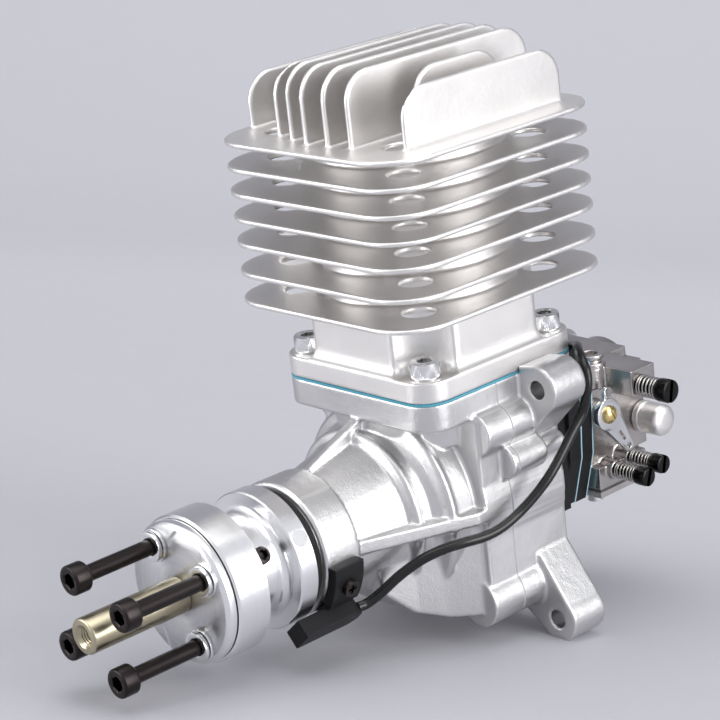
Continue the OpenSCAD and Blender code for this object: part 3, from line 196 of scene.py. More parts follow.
def paper_profile():
    """Run away from the camera and rise of the paper, from the front edge to the top."""
    yield FRONT_EDGE, 0.0
    for step in range(13):
        angle = math.radians(90 * step / 12)
        yield SWEEP_STARTS + SWEEP_RADIUS * math.sin(angle), SWEEP_RADIUS * (1 - math.cos(angle))
    yield SWEEP_STARTS + SWEEP_RADIUS, PAPER_TOP


def build_paper():
    side = away.cross(table_up).normalized()
    bm = bmesh.new()
    rows = []
    for run, rise in paper_profile():
        middle = LOWEST_LUG + away * run + table_up * rise
        rows.append([bm.verts.new(middle + side * s) for s in (-PAPER_HALF_WIDTH, PAPER_HALF_WIDTH)])
    for a, b in zip(rows, rows[1:]):
        bm.faces.new((a[0], a[1], b[1], b[0])).smooth = True
    mesh = bpy.data.meshes.new("paper_floor")
    bm.to_mesh(mesh)
    bm.free()
    paper = bpy.data.objects.new("paper_floor", mesh)
    bpy.context.scene.collection.objects.link(paper)
    return paper


paper_floor = build_paper()
print("paper has", len(paper_floor.data.polygons), "faces")

# %% World
world = bpy.data.worlds.new("studio")
bpy.context.scene.world = world
world.use_nodes = True
world.node_tree.nodes["Background"].inputs["Color"].default_value = (0.78, 0.79, 0.83, 1)
world.node_tree.nodes["Background"].inputs["Strength"].default_value = 0.9
bpy.context.scene.view_settings.view_transform = "Standard"
print("world", world.name)

# %% [markdown]
# ## Lights
#
# Three large rectangular lamps stand for the softboxes of the photograph. Large
# lamps matter more for metal than strong ones: what looks like the colour of a
# satin casting is mostly a blurred picture of the lamps and of the dark gaps
# between them.

# %% Lights
CENTRE = Vector((0, 0.07, 0.05))


def softbox(name, at, size, power):
    data = bpy.data.lights.new(name, "AREA")
    data.shape = "RECTANGLE"
    data.size, data.size_y = size
    data.energy = power
    lamp = bpy.data.objects.new(name, data)
    bpy.context.scene.collection.objects.link(lamp)
    lamp.location = at
    lamp.rotation_euler = (CENTRE - Vector(at)).to_track_quat("-Z", "Y").to_euler()
    return lamp


softbox("softbox_top", (0.05, 0.1, 0.85), (0.8, 0.8), 4.3)
softbox("softbox_left", (-0.5, -0.8, 0.32), (0.7, 0.9), 9)
softbox("softbox_right", (0.9, 0.3, 0.22), (0.5, 0.9), 8)

# %% [markdown]
# ## Shader groups
#
# Several finishes share the same effects: the grain of a blasted casting, the
# fine rings that a lathe leaves, smudges from handling and edges made bright,
# partly by wear and partly as a painted highlight. Each effect is a node group
# with named inputs, built once. The Principled shader stays in each material, and
# the groups only feed its colour, its roughness and the height of a Bump node.

# %% Helpers for node trees
def new_group(name, inputs, outputs):
    """A shader node group with float inputs {name: default} and float outputs."""
    tree = bpy.data.node_groups.new(name, "ShaderNodeTree")
    for label, value in inputs.items():
        tree.interface.new_socket(label, in_out="INPUT", socket_type="NodeSocketFloat").default_value = value
    for label in outputs:
        tree.interface.new_socket(label, in_out="OUTPUT", socket_type="NodeSocketFloat")
    return tree, tree.nodes.new("NodeGroupInput"), tree.nodes.new("NodeGroupOutput")


def maths(tree, operation, a, b=None, c=None):
    """A Math node whose inputs are sockets or numbers; gives its output socket."""
    node = tree.nodes.new("ShaderNodeMath")
    node.operation = operation
    for socket, value in zip(node.inputs, (a, b, c)):
        if value is None:
            continue
        if isinstance(value, (int, float)):
            socket.default_value = value
        else:
            tree.links.new(value, socket)
    return node.outputs[0]


def noise(tree, scale, vector=None, detail=2.0, roughness=0.5):
    """A Noise Texture in the piece's own space; gives its grey output."""
    if vector is None:
        vector = tree.nodes.new("ShaderNodeTexCoord").outputs["Object"]
    node = tree.nodes.new("ShaderNodeTexNoise")
    tree.links.new(vector, node.inputs["Vector"])
    node.inputs["Detail"].default_value = detail
    node.inputs["Roughness"].default_value = roughness
    if isinstance(scale, (int, float)):
        node.inputs["Scale"].default_value = scale
    else:
        tree.links.new(scale, node.inputs["Scale"])
    return node.outputs[0]


# %% Blasted grain: fine sand-like height, wider waves and soft blotches
grain_group, g_in, g_out = new_group("blasted_grain", {"Grain Scale": 2600, "Wave Scale": 420},
                                     ["Grain", "Blotch"])
fine = noise(grain_group, g_in.outputs["Grain Scale"], detail=3)
wide = noise(grain_group, g_in.outputs["Wave Scale"], detail=2)
grain_group.links.new(maths(grain_group, "ADD", maths(grain_group, "MULTIPLY", fine, 0.45),
                            maths(grain_group, "MULTIPLY", wide, 0.55)), g_out.inputs["Grain"])
grain_group.links.new(noise(grain_group, 55, detail=3), g_out.inputs["Blotch"])
print("group", grain_group.name)

# %% Lathe rings: fine lines round the crankshaft's axis, on faces and on rims alike
rings_group, g_in, g_out = new_group("lathe_rings", {"Ring Scale": 1.0}, ["Rings", "Sheen"])
place = rings_group.nodes.new("ShaderNodeTexCoord").outputs["Object"]
split = rings_group.nodes.new("ShaderNodeSeparateXYZ")
rings_group.links.new(place, split.inputs[0])
squares = [maths(rings_group, "POWER", split.outputs[axis], 2) for axis in ("X", "Z")]
radius = maths(rings_group, "SQRT", maths(rings_group, "ADD", *squares))
join = rings_group.nodes.new("ShaderNodeCombineXYZ")
rings_group.links.new(radius, join.inputs["X"])
rings_group.links.new(split.outputs["Y"], join.inputs["Y"])
for label, scale in (("Rings", 5200), ("Sheen", 700)):
    scaled = maths(rings_group, "MULTIPLY", g_in.outputs["Ring Scale"], scale)
    rings_group.links.new(noise(rings_group, scaled, join.outputs[0], detail=2), g_out.inputs[label])
print("group", rings_group.name)

# %% Handling: smudges that change how glossy a surface is
handling_group, g_in, g_out = new_group("handling", {"Base Roughness": 0.4, "Variation": 0.1}, ["Roughness"])
smudge = noise(handling_group, 90, detail=4, roughness=0.6)
centred = maths(handling_group, "SUBTRACT", smudge, 0.5)
swing = maths(handling_group, "MULTIPLY", centred, g_in.outputs["Variation"])
handling_group.links.new(maths(handling_group, "ADD", g_in.outputs["Base Roughness"], swing),
                         g_out.inputs["Roughness"])
print("group", handling_group.name)

# %% Edge wear and painted highlight: where the mesh turns outwards sharply, broken up by noise
edge_wear_glint_group, g_in, g_out = new_group("edge_wear_and_glint", {"Start": 0.53, "Width": 0.06}, ["Mask"])
pointy = edge_wear_glint_group.nodes.new("ShaderNodeNewGeometry").outputs["Pointiness"]
past_start = maths(edge_wear_glint_group, "SUBTRACT", pointy, g_in.outputs["Start"])
edge = maths(edge_wear_glint_group, "DIVIDE", past_start, g_in.outputs["Width"])
clipped = edge_wear_glint_group.nodes.new("ShaderNodeClamp")
edge_wear_glint_group.links.new(edge, clipped.inputs["Value"])
broken = maths(edge_wear_glint_group, "MULTIPLY_ADD", noise(edge_wear_glint_group, 700, detail=3), 0.7, 0.5)
edge_wear_glint_group.links.new(maths(edge_wear_glint_group, "MULTIPLY", clipped.outputs[0], broken), g_out.inputs["Mask"])
print("group", edge_wear_glint_group.name)


# %% Helpers that start a material and join groups to its shader
def start_material(name, colour, metallic=1.0, **sockets):
    material = bpy.data.materials.new(name)
    material.use_nodes = True
    tree = material.node_tree
    shader = tree.nodes["Principled BSDF"]
    shader.inputs["Base Color"].default_value = (*colour, 1)
    shader.inputs["Metallic"].default_value = metallic
    for label, value in sockets.items():
        shader.inputs[label.replace("_", " ")].default_value = value
    return material, tree, shader


def place_group(tree, group, **values):
    node = tree.nodes.new("ShaderNodeGroup")
    node.node_tree = group
    for label, value in values.items():
        node.inputs[label.replace("_", " ")].default_value = value
    return node


def shade_between(tree, shader, low, high, factor):
    """Base Color that runs from one colour to another by a mask."""
    mix = tree.nodes.new("ShaderNodeMix")
    mix.data_type = "RGBA"
    mix.inputs[6].default_value = (*low, 1)
    mix.inputs[7].default_value = (*high, 1)
    tree.links.new(factor, mix.inputs[0])
    tree.links.new(mix.outputs[2], shader.inputs["Base Color"])
    return mix.outputs[2]


def bump_from(tree, shader, height, distance):
    bump = tree.nodes.new("ShaderNodeBump")
    bump.inputs["Distance"].default_value = distance
    bump.inputs["Strength"].default_value = 1
    tree.links.new(height, bump.inputs["Height"])
    tree.links.new(bump.outputs[0], shader.inputs["Normal"])


def uneven_gloss(tree, shader, roughness, variation):
    handling = place_group(tree, handling_group, Base_Roughness=roughness, Variation=variation)
    tree.links.new(handling.outputs["Roughness"], shader.inputs["Roughness"])


finishes = {}

# %% [markdown]
# ## Finishes
#
# The crankcase is cast and tumbled: bright, with a soft grain. The cylinder is
# blasted, so it is duller and a little warmer, and the rims of its plates have
# rubbed bright; on both castings the brighter edges are partly wear and partly a
# painted highlight. Turned pieces show the lathe's rings. Small hardware is either
# zinc plated, blackened or yellow passivated.

# %% Cast and blasted aluminium
def cast_finish(name, dull, bright, roughness, depth, grain_scale):
    material, tree, shader = start_material(name, bright)
    grain = place_group(tree, grain_group, Grain_Scale=grain_scale)
    # The edges come out brighter: partly wear, partly a painted highlight.
    edge_wear_glint = place_group(tree, edge_wear_glint_group, Start=0.52, Width=0.05)
    uneven_gloss(tree, shader, roughness, 0.12)
    tone = maths(tree, "ADD", maths(tree, "MULTIPLY", grain.outputs["Blotch"], 0.8), edge_wear_glint.outputs["Mask"])
    shade_between(tree, shader, dull, bright, tone)
    bump_from(tree, shader, grain.outputs["Grain"], depth)
    finishes[name] = material


cast_finish("cast", (0.58, 0.575, 0.575), (0.78, 0.775, 0.775), 0.34, 0.00016, 2400)
cast_finish("cylinder_cast", (0.76, 0.74, 0.725), (0.88, 0.865, 0.85), 0.42, 0.00007, 3600)
print("cast finishes", list(finishes))


# %% Turned aluminium and the piston
def turned_finish(name, low, high, roughness, depth):
    material, tree, shader = start_material(name, high)
    rings = place_group(tree, rings_group)
    shade_between(tree, shader, low, high, rings.outputs["Sheen"])
    height = maths(tree, "ADD", rings.outputs["Rings"], maths(tree, "MULTIPLY", rings.outputs["Sheen"], 0.6))
    uneven_gloss(tree, shader, roughness, 0.1)
    bump_from(tree, shader, height, depth)
    finishes[name] = material


turned_finish("machined", (0.86, 0.86, 0.87), (0.94, 0.94, 0.95), 0.24, 0.00002)
# A darker copy of the turned finish: painted shade for the washer's forward face.
turned_finish("faced_painted_shade", (0.56, 0.56, 0.57), (0.74, 0.74, 0.75), 0.32, 0.00005)
turned_finish("piston_metal", (0.7, 0.7, 0.7), (0.82, 0.82, 0.82), 0.32, 0.00003)
print("turned finishes added")


# %% Plated, blackened and bare steel, and brass
def hardware_finish(name, low, high, roughness, variation, depth, edge_wear_glint_colour=None):
    material, tree, shader = start_material(name, high)
    grain = place_group(tree, grain_group, Grain_Scale=5000, Wave_Scale=900)
    tone = shade_between(tree, shader, low, high, grain.outputs["Blotch"])
    uneven_gloss(tree, shader, roughness, variation)
    bump_from(tree, shader, grain.outputs["Grain"], depth)
    # Edges take their own colour: partly wear, partly a painted highlight.
    if edge_wear_glint_colour:
        edge_wear_glint = place_group(tree, edge_wear_glint_group, Start=0.56, Width=0.12)
        mix = tree.nodes.new("ShaderNodeMix")
        mix.data_type = "RGBA"
        mix.inputs[7].default_value = (*edge_wear_glint_colour, 1)
        tree.links.new(tone, mix.inputs[6])
        tree.links.new(edge_wear_glint.outputs["Mask"], mix.inputs[0])
        tree.links.new(mix.outputs[2], shader.inputs["Base Color"])
    finishes[name] = material


hardware_finish("steel", (0.48, 0.48, 0.49), (0.62, 0.62, 0.63), 0.25, 0.1, 0.00001)
hardware_finish("zinc_steel", (0.72, 0.73, 0.75), (0.88, 0.88, 0.87), 0.2, 0.12, 0.00001)
hardware_finish("black_steel", (0.02, 0.017, 0.018), (0.05, 0.042, 0.04), 0.36, 0.2, 0.00003,
                (0.13, 0.11, 0.1))
hardware_finish("black_oxide", (0.02, 0.02, 0.021), (0.045, 0.044, 0.042), 0.26, 0.2, 0.00002,
                (0.06, 0.055, 0.05))
hardware_finish("yellow_steel", (0.27, 0.24, 0.16), (0.6, 0.54, 0.4), 0.3, 0.25, 0.00003)
hardware_finish("spring_steel", (0.4, 0.38, 0.36), (0.66, 0.64, 0.62), 0.25, 0.1, 0.00001)
hardware_finish("brass", (0.62, 0.47, 0.2), (0.82, 0.66, 0.32), 0.24, 0.1, 0.00001)
hardware_finish("carb_metal", (0.3, 0.28, 0.27), (0.7, 0.665, 0.645), 0.18, 0.2, 0.00009, (0.85, 0.83, 0.82))
hardware_finish("pale_fitting", (0.74, 0.72, 0.71), (0.88, 0.86, 0.85), 0.42, 0.15, 0.00002)
print("hardware finishes added")


# %% Plastics, gaskets, reed and lead
def matt_finish(name, low, high, roughness, depth, grain_scale=2400, coat=0.0, shine=0.5):
    material, tree, shader = start_material(name, high, metallic=0.0, Coat_Weight=coat, Coat_Roughness=0.2,
                                            Specular_IOR_Level=shine)
    grain = place_group(tree, grain_group, Grain_Scale=grain_scale)
    shade_between(tree, shader, low, high, grain.outputs["Blotch"])
    uneven_gloss(tree, shader, roughness, 0.15)
    bump_from(tree, shader, grain.outputs["Grain"], depth)
    finishes[name] = material


matt_finish("black_plastic", (0.006, 0.006, 0.007), (0.014, 0.014, 0.015), 0.45, 0.00003, shine=0.2)
matt_finish("blue_gasket", (0.05, 0.26, 0.36), (0.1, 0.4, 0.5), 0.5, 0.00003)
matt_finish("pale_gasket", (0.3, 0.5, 0.58), (0.42, 0.62, 0.7), 0.5, 0.00003)
matt_finish("joint_gasket", (0.3, 0.29, 0.29), (0.42, 0.41, 0.41), 0.6, 0.00003)
matt_finish("dark_gasket", (0.05, 0.045, 0.042), (0.11, 0.1, 0.095), 0.6, 0.00004)
matt_finish("reed", (0.5, 0.46, 0.34), (0.68, 0.63, 0.5), 0.4, 0.00002)
matt_finish("lead", (0.004, 0.004, 0.004), (0.01, 0.01, 0.01), 0.26, 0.00006, 1500, 0.1, 0.35)
matt_finish("backdrop_paper", (0.41, 0.41, 0.44), (0.42, 0.42, 0.45), 0.6, 0.00001)
print(len(finishes), "finishes")

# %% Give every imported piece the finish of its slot
for part in frame["record"]["subparts"]:
    piece = nodes[part["node"]]
    piece.data.materials.clear()
    piece.data.materials.append(finishes[part["material_slot"]])
for name, finish in (("prop_spring_washers", "zinc_steel"), ("spacer_gasket", "pale_gasket"),
                     ("carb_gasket", "pale_gasket")):
    nodes[name].data.materials[0] = finishes[finish]
lead_sleeve.data.materials.append(finishes["lead"])
paper_floor.data.materials.append(finishes["backdrop_paper"])
print("every packed piece has a finish")

# %% [markdown]
# The paper looks evenly pale in the photograph, from the table up to the top.
# Here the lamps reach the near part more than the far part, so the paper gives
# off a little light of its own that grows with the distance from the engine. It
# is only seen by the camera, so nothing on the engine is lit by it.

# %% Even out the paper
GLOW_RUN = (0.0, 0.65)
GLOW_STRENGTH = 0.215
GLOW_COLOUR = (0.93, 0.92, 1, 1)
paper_tree = finishes["backdrop_paper"].node_tree
paper_shader = paper_tree.nodes["Principled BSDF"]
run = paper_tree.nodes.new("ShaderNodeVectorMath")
run.operation = "DOT_PRODUCT"
run.inputs[1].default_value = away
paper_tree.links.new(paper_tree.nodes.new("ShaderNodeNewGeometry").outputs["Position"], run.inputs[0])
glow = paper_tree.nodes.new("ShaderNodeMapRange")
glow.inputs["From Min"].default_value = GLOW_RUN[0]
glow.inputs["From Max"].default_value = GLOW_RUN[1]
glow.inputs["To Max"].default_value = GLOW_STRENGTH
paper_tree.links.new(run.outputs["Value"], glow.inputs["Value"])
seen = paper_tree.nodes.new("ShaderNodeLightPath").outputs["Is Camera Ray"]
glow_seen = maths(paper_tree, "MULTIPLY", glow.outputs[0], seen)
paper_tree.links.new(glow_seen, paper_shader.inputs["Emission Strength"])
paper_shader.inputs["Emission Color"].default_value = GLOW_COLOUR
print("paper glows up to", GLOW_STRENGTH)
# %% [markdown]
# ## Shapes from rings of points
#
# A turned piece, a thread or a flared outline is a stack of rings of points with
# walls between neighbours. Three helpers make such stacks: one ring, a profile
# whose corners are eased, and the skin over the rings.

# %% Rings of points, eased profiles and skins
def ring_of(radius, height, count=48):
    points = []
    for i in range(count):
        angle = 2 * math.pi * i / count
        r = radius(angle) if callable(radius) else radius
        points.append(Vector((r * math.cos(angle), r * math.sin(angle), height)))
    return points


def eased(profile, radius, steps=3):
    """A profile of (radius, height) whose inner corners are short curves."""
    points = [Vector(p) for p in profile]
    result = [points[0]]
    for a, b, c in zip(points, points[1:], points[2:]):
        cut = min(radius, (a - b).length / 2.2, (c - b).length / 2.2)
        start, end = b + (a - b).normalized() * cut, b + (c - b).normalized() * cut
        for i in range(steps + 1):
            t = i / steps
            result.append(start * (1 - t) ** 2 + b * (2 * t * (1 - t)) + end * t ** 2)
    return result + [points[-1]]


def skin(bm, rows, loop=False):
    """Walls between neighbouring rows of points, either capped or joined in a loop."""
    made = [[bm.verts.new(p) for p in row] for row in rows]
    for a, b in zip(made, made[1:] + ([made[0]] if loop else [])):
        for i in range(len(a)):
            j = (i + 1) % len(a)
            bm.faces.new((a[i], a[j], b[j], b[i]))
    if not loop:
        bm.faces.new(made[0][::-1])
        bm.faces.new(made[-1])


# %% [markdown]
# ## Castings with soft edges
#
# No edge of a casting is sharp: metal shrinks as it cools and the sand or die
# has a radius in each corner, and blasting rounds the rest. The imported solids
# have crisp edges. A voxel remesh rebuilds a closed copy on a fine grid, a few
# smoothing steps pull every edge and inner corner round, and a decimation then
# takes away the points that flat areas don't need. Bevelling the solids' own
# edges instead would fail where many short edges meet.


def body_of_node(node):
    return body_of(nodes[node])[0]


def add_piece(name, mesh, node, finish):
    """A new piece that stands in the scene for a packed one."""
    piece = bpy.data.objects.new(name, mesh)
    bpy.context.scene.collection.objects.link(piece)
    mesh.materials.clear()
    mesh.materials.append(finishes[finish])
    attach(piece, body_of_node(node))
    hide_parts(node)
    return piece


def apply_modifiers(piece):
    """Bakes a piece's modifiers into its mesh."""
    graph = bpy.context.evaluated_depsgraph_get()
    mesh = bpy.data.meshes.new_from_object(piece.evaluated_get(graph))
    piece.modifiers.clear()
    old = piece.data
    piece.data = mesh
    bpy.data.meshes.remove(old)
    return mesh


def closed_copy(node):
    """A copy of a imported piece's mesh with its split points joined."""
    bm = bmesh.new()
    bm.from_mesh(nodes[node].data)
    bmesh.ops.remove_doubles(bm, verts=bm.verts, dist=2e-6)
    mesh = bpy.data.meshes.new(node + "_soft")
    bm.to_mesh(mesh)
    bm.free()
    return mesh


def soften(mesh, voxel, smoothing, keep, cutters=(), extra=()):
    """Remeshes, smooths and thins a closed mesh, after its cuts and with any extra loops of rings."""
    piece = bpy.data.objects.new("softened", mesh)
    bpy.context.scene.collection.objects.link(piece)
    for cutter in cutters:
        cut = piece.modifiers.new("cut", "BOOLEAN")
        cut.object = cutter
        cut.solver = "EXACT"
    mesh = apply_modifiers(piece)
    bm = bmesh.new()
    bm.from_mesh(mesh)
    for rows in extra:
        skin(bm, rows, loop=True)
    bm.to_mesh(mesh)
    bm.free()
    remesh = piece.modifiers.new("remesh", "REMESH")
    remesh.mode = "VOXEL"
    remesh.voxel_size = voxel
    smooth = piece.modifiers.new("smooth", "SMOOTH")
    smooth.factor = 0.5
    smooth.iterations = smoothing
    thin = piece.modifiers.new("decimate", "DECIMATE")
    thin.ratio = keep
    result = apply_modifiers(piece)
    bpy.data.objects.remove(piece)
    result.shade_smooth()
    return result


def cast_piece(node, mesh, finish):
    """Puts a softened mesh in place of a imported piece."""
    mesh.name = node + "_soft"
    add_piece(mesh.name, mesh, node, finish)
    print(mesh.name, len(mesh.polygons), "faces")


def soft_copy(node, voxel, smoothing, keep, finish, cutters=(), extra=()):
    """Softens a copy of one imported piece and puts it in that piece's place."""
    cast_piece(node, soften(closed_copy(node), voxel, smoothing, keep, cutters, extra), finish)


# %% [markdown]
# The two crankcase castings are softened as one, gasket included, and cut apart
# again afterwards. So their shared edge stays as crisp as the machined joint of
# the real case, and the outside runs across it without a groove.

# %% Crankcase castings
JOINT = (0.0962, 0.0967)


def without_joint_faces(node):
    """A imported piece's points and faces, except those that lie in the joint."""
    bm = bmesh.new()
    bm.from_mesh(nodes[node].data)
    inner = [f for f in bm.faces if any(all(abs(v.co.y - y) < 1e-6 for v in f.verts) for y in JOINT)]
    bmesh.ops.delete(bm, geom=inner, context="FACES")
    return bm


def joined_case():
    whole = bmesh.new()
    for node in ("crankcase_front", "case_gasket", "crankcase_rear"):
        part = without_joint_faces(node)
        mesh = bpy.data.meshes.new("part")
        part.to_mesh(mesh)
        part.free()
        whole.from_mesh(mesh)
        bpy.data.meshes.remove(mesh)
    bmesh.ops.remove_doubles(whole, verts=whole.verts, dist=2e-6)
    mesh = bpy.data.meshes.new("whole_case")
    whole.to_mesh(mesh)
    whole.free()
    return mesh


def between(mesh, low, high):
    """The part of a closed mesh between two stations along Y, closed again by flat faces."""
    bm = bmesh.new()
    bm.from_mesh(mesh)
    for y, side in ((low, -1), (high, 1)):
        if y is None:
            continue
        cut = bmesh.ops.bisect_plane(bm, geom=bm.verts[:] + bm.edges[:] + bm.faces[:], plane_co=(0, y, 0),
                                     plane_no=(0, side, 0), clear_outer=True, dist=1e-7)
        edges = [g for g in cut["geom_cut"] if isinstance(g, bmesh.types.BMEdge)]
        bmesh.ops.triangle_fill(bm, edges=edges, use_beauty=True, normal=(0, side, 0))
    bmesh.ops.recalc_face_normals(bm, faces=bm.faces)
    result = bpy.data.meshes.new("slice")
    bm.to_mesh(result)
    open_edges = sum(1 for e in bm.edges if len(e.link_faces) != 2)
    bm.free()
    result.shade_smooth()
    result.set_sharp_from_angle(angle=math.radians(50))
    print("slice has", open_edges, "open edges")
    return result


whole_case = soften(joined_case(), 0.00045, 5, 0.3)
cast_piece("crankcase_front", between(whole_case, None, JOINT[0]), "cast")
cast_piece("case_gasket", between(whole_case, *JOINT), "joint_gasket")
cast_piece("crankcase_rear", between(whole_case, JOINT[1], None), "cast")

# %% [markdown]
# Below its plates the cylinder narrows to a square waist with a wide hollow at
# each corner, which makes room for a screw head. The waist flares out softly at
# its foot. So the copy gets hollows cut with round columns and a skirt of the
# flared outline, before both are softened as one. The bulges above the lowest
# plate are lens shaped.


# %% Cylinder casting
def cutter_from(rows):
    """An object for boolean cuts, from rows of points in millimetres."""
    bm = bmesh.new()
    skin(bm, rows)
    bmesh.ops.recalc_face_normals(bm, faces=bm.faces)
    bm.transform(Matrix.Scale(MM, 4))
    mesh = bpy.data.meshes.new("cutter")
    bm.to_mesh(mesh)
    bm.free()
    cutter = bpy.data.objects.new("cutter", mesh)
    bpy.context.scene.collection.objects.link(cutter)
    return cutter


CYLINDER_Y = 100.7
DECK_TOP = 43.4
HOLLOW_AT = 31
HOLLOW_R = 14.5
HOLLOW_FOOT = ((4.5, 43.42), (2.6, 43.8), (1.3, 44.5), (0.4, 45.6), (0, 47), (0, 61.03))
cylinder_cutters = []
for sx in (-1, 1):
    for sy in (-1, 1):
        rows = []
        for shrink, z in HOLLOW_FOOT:
            rows.append([p + Vector((HOLLOW_AT * sx, CYLINDER_Y + HOLLOW_AT * sy, 0))
                         for p in ring_of(HOLLOW_R - shrink, z, 64)])
        cylinder_cutters.append(cutter_from(rows))


WAIST_HALF = 29.3
WAIST_INSIDE = 27.2
WAIST_FLARE = ((1.9, 43.0), (1.7, 43.5), (0.9, 44.1), (0.4, 45), (0.1, 46.2), (0, 47.5), (0, 61.3))


def waist_radius(flare):
    """Radius of the waist's outline at each angle: a square whose corners are hollow."""
    def radius(angle):
        x, y = abs(math.cos(angle)), abs(math.sin(angle))
        flat_side = (WAIST_HALF + flare) / max(x, y)
        near = HOLLOW_AT * (x + y)
        inside = (HOLLOW_R - flare) ** 2 - 2 * HOLLOW_AT ** 2 + near ** 2
        return min(flat_side, near - math.sqrt(inside)) if inside > 0 else flat_side
    return radius


waist = [ring_of(waist_radius(flare), z, 144) for flare, z in WAIST_FLARE]
waist += [ring_of(WAIST_INSIDE, z, 144) for z in (61.3, 43.0)]
waist = [[(p + Vector((0, CYLINDER_Y, 0))) * MM for p in row] for row in waist]


BULGE_R = 20
BULGE_HALF = 13
BULGE_FROM_AXIS = 9.3


def lens_outline(side):
    """What lies outside the bulge, on one side of the cylinder."""
    arc = [(x, -(BULGE_FROM_AXIS + math.sqrt(BULGE_R ** 2 - x * x)))
           for x in (BULGE_HALF * (i / 12 - 1) for i in range(25))]
    outline = [(-BULGE_HALF, -31), *arc, (BULGE_HALF, -31)]
    return [(x, CYLINDER_Y + (y if side < 0 else -y)) for x, y in (outline if side < 0 else outline[::-1])]


for side in (-1, 1):
    for heights in ((62.58, 69.68), (71.22, 78.32)):
        outline = lens_outline(side)
        cylinder_cutters.append(cutter_from([[Vector((x, y, z)) for x, y in outline] for z in heights]))

soft_copy("cylinder", 0.00042, 4, 0.3, "cylinder_cast", cylinder_cutters, [waist])
for cutter in cylinder_cutters:
    bpy.data.objects.remove(cutter)

# %% Carburettor, manifold and sensor mouldings
soft_copy("carb_body", 0.0003, 3, 0.3, "carb_metal")
soft_copy("manifold_block", 0.0004, 3, 0.3, "black_plastic")
trim = cutter_from([ring_of(40, z, 12) for z in (0, 4)])
trim.matrix_world = Matrix.Translation((0, 0.0219, 0)) @ Matrix.Rotation(math.radians(-90), 4, "X")
bpy.context.view_layer.update()
soft_copy("sensor_bar", 0.00025, 6, 0.4, "black_plastic", [trim])
bpy.data.objects.remove(trim)
soft_copy("sensor_clamp", 0.00025, 3, 0.4, "black_plastic")
# %% [markdown]
# ## Turned and threaded hardware
#
# Every screw and washer below is a stack of rings. The radius of a ring may
# depend on the angle: a constant gives a round ring, a hexagon's outline gives a
# socket, and a small wave that climbs with the angle gives a thread. Edges are
# eased by replacing each corner of the profile with a short curve, because real
# turned edges always catch a line of light.

# %% Sockets, threads and placing
def hexagon(across_flats):
    """Radius of a hexagon's outline at each angle."""
    sixth = math.pi / 6
    return lambda angle: across_flats / 2 / math.cos((angle + sixth) % (2 * sixth) - sixth)


def thread(core, depth, pitch, height):
    """Radius of a thread's surface at each angle, for the ring at this height."""
    def radius(angle):
        turn = (height / pitch - angle / (2 * math.pi)) % 1
        return core + depth * (1 - abs(2 * turn - 1))
    return radius


def pointing(at_mm, direction):
    """Matrix that stands a piece drawn along +Z, in millimetres, at a place in the engine."""
    turn = Vector(direction).to_track_quat("Z", "Y").to_matrix().to_4x4()
    return Matrix.Translation(Vector(at_mm) * MM) @ turn @ Matrix.Scale(MM, 4)


SHARP_FROM = math.radians(35)


def new_piece(name, shapes, node, finish):
    """One piece from (rows, loop, matrix) shapes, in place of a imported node."""
    bm = bmesh.new()
    for rows, loop, matrix in shapes:
        part = bmesh.new()
        skin(part, rows, loop=loop)
        part.transform(matrix)
        mesh = bpy.data.meshes.new("part")
        bmesh.ops.recalc_face_normals(part, faces=part.faces)
        part.to_mesh(mesh)
        part.free()
        bm.from_mesh(mesh)
        bpy.data.meshes.remove(mesh)
    mesh = bpy.data.meshes.new(name)
    bm.to_mesh(mesh)
    bm.free()
    mesh.shade_smooth()
    mesh.set_sharp_from_angle(angle=SHARP_FROM)
    piece = add_piece(name, mesh, node, finish)
    print(name, len(mesh.polygons), "faces")
    return piece


# %% Socket head cap screws
def cap_screw(shank_d, length, head_d, head_h, key, knurl=0.0):
    """Rings from the shank's end to the floor of the socket; the head stands on z = 0."""
    r, h, rim = shank_d / 2, head_d / 2, key / 2 / math.cos(math.pi / 6) + 0.25
    shank = eased([(r - 0.5, -length), (r, -length + 0.6), (r, 0), (h - 0.3, 0)], 0.25)
    rows = [ring_of(p[0], p[1], 96) for p in shank]
    side = eased([(h - 0.3, 0), (h, 0.35), (h, head_h), (rim, head_h)], 0.75)
    for p in side[1:]:
        full = p[0] > h - 0.05
        wave = (lambda angle: h - knurl * (round(angle / math.pi * 48) % 2)) if full and knurl else p[0]
        rows.append(ring_of(wave, p[1], 96))
    rows += [ring_of(hexagon(key), z, 96) for z in (head_h - 0.3, head_h - 2.4)]
    rows.append(ring_of(key * 0.2, head_h - 3.1, 96))
    return rows


FORWARD = (0, -1, 0)
PROP_CIRCLE_R = 15
PROP_ANGLES = [math.radians(a) for a in (30, 120, 210, 300)]
PROP_PLACES = [(PROP_CIRCLE_R * math.cos(a), PROP_CIRCLE_R * math.sin(a)) for a in PROP_ANGLES]
PROP_HEADS_Y = -24.6
prop_screw = cap_screw(4.6, 38, 8.5, 5, 4)
new_piece("prop_cap_screws",
          [(prop_screw, False, pointing((x, PROP_HEADS_Y, z), FORWARD)) for x, z in PROP_PLACES],
          "prop_bolts", "black_steel")

DECK_SCREW_AT = 24.5
deck_screw = cap_screw(5, 13.5, 8.5, 5, 4, knurl=0.14)
deck_places = [(x, CYLINDER_Y + y, DECK_TOP) for x in (-DECK_SCREW_AT, DECK_SCREW_AT)
               for y in (-DECK_SCREW_AT, DECK_SCREW_AT)]
new_piece("deck_cap_screws", [(deck_screw, False, pointing(at, (0, 0, 1))) for at in deck_places],
          "cylinder_screws", "zinc_steel")


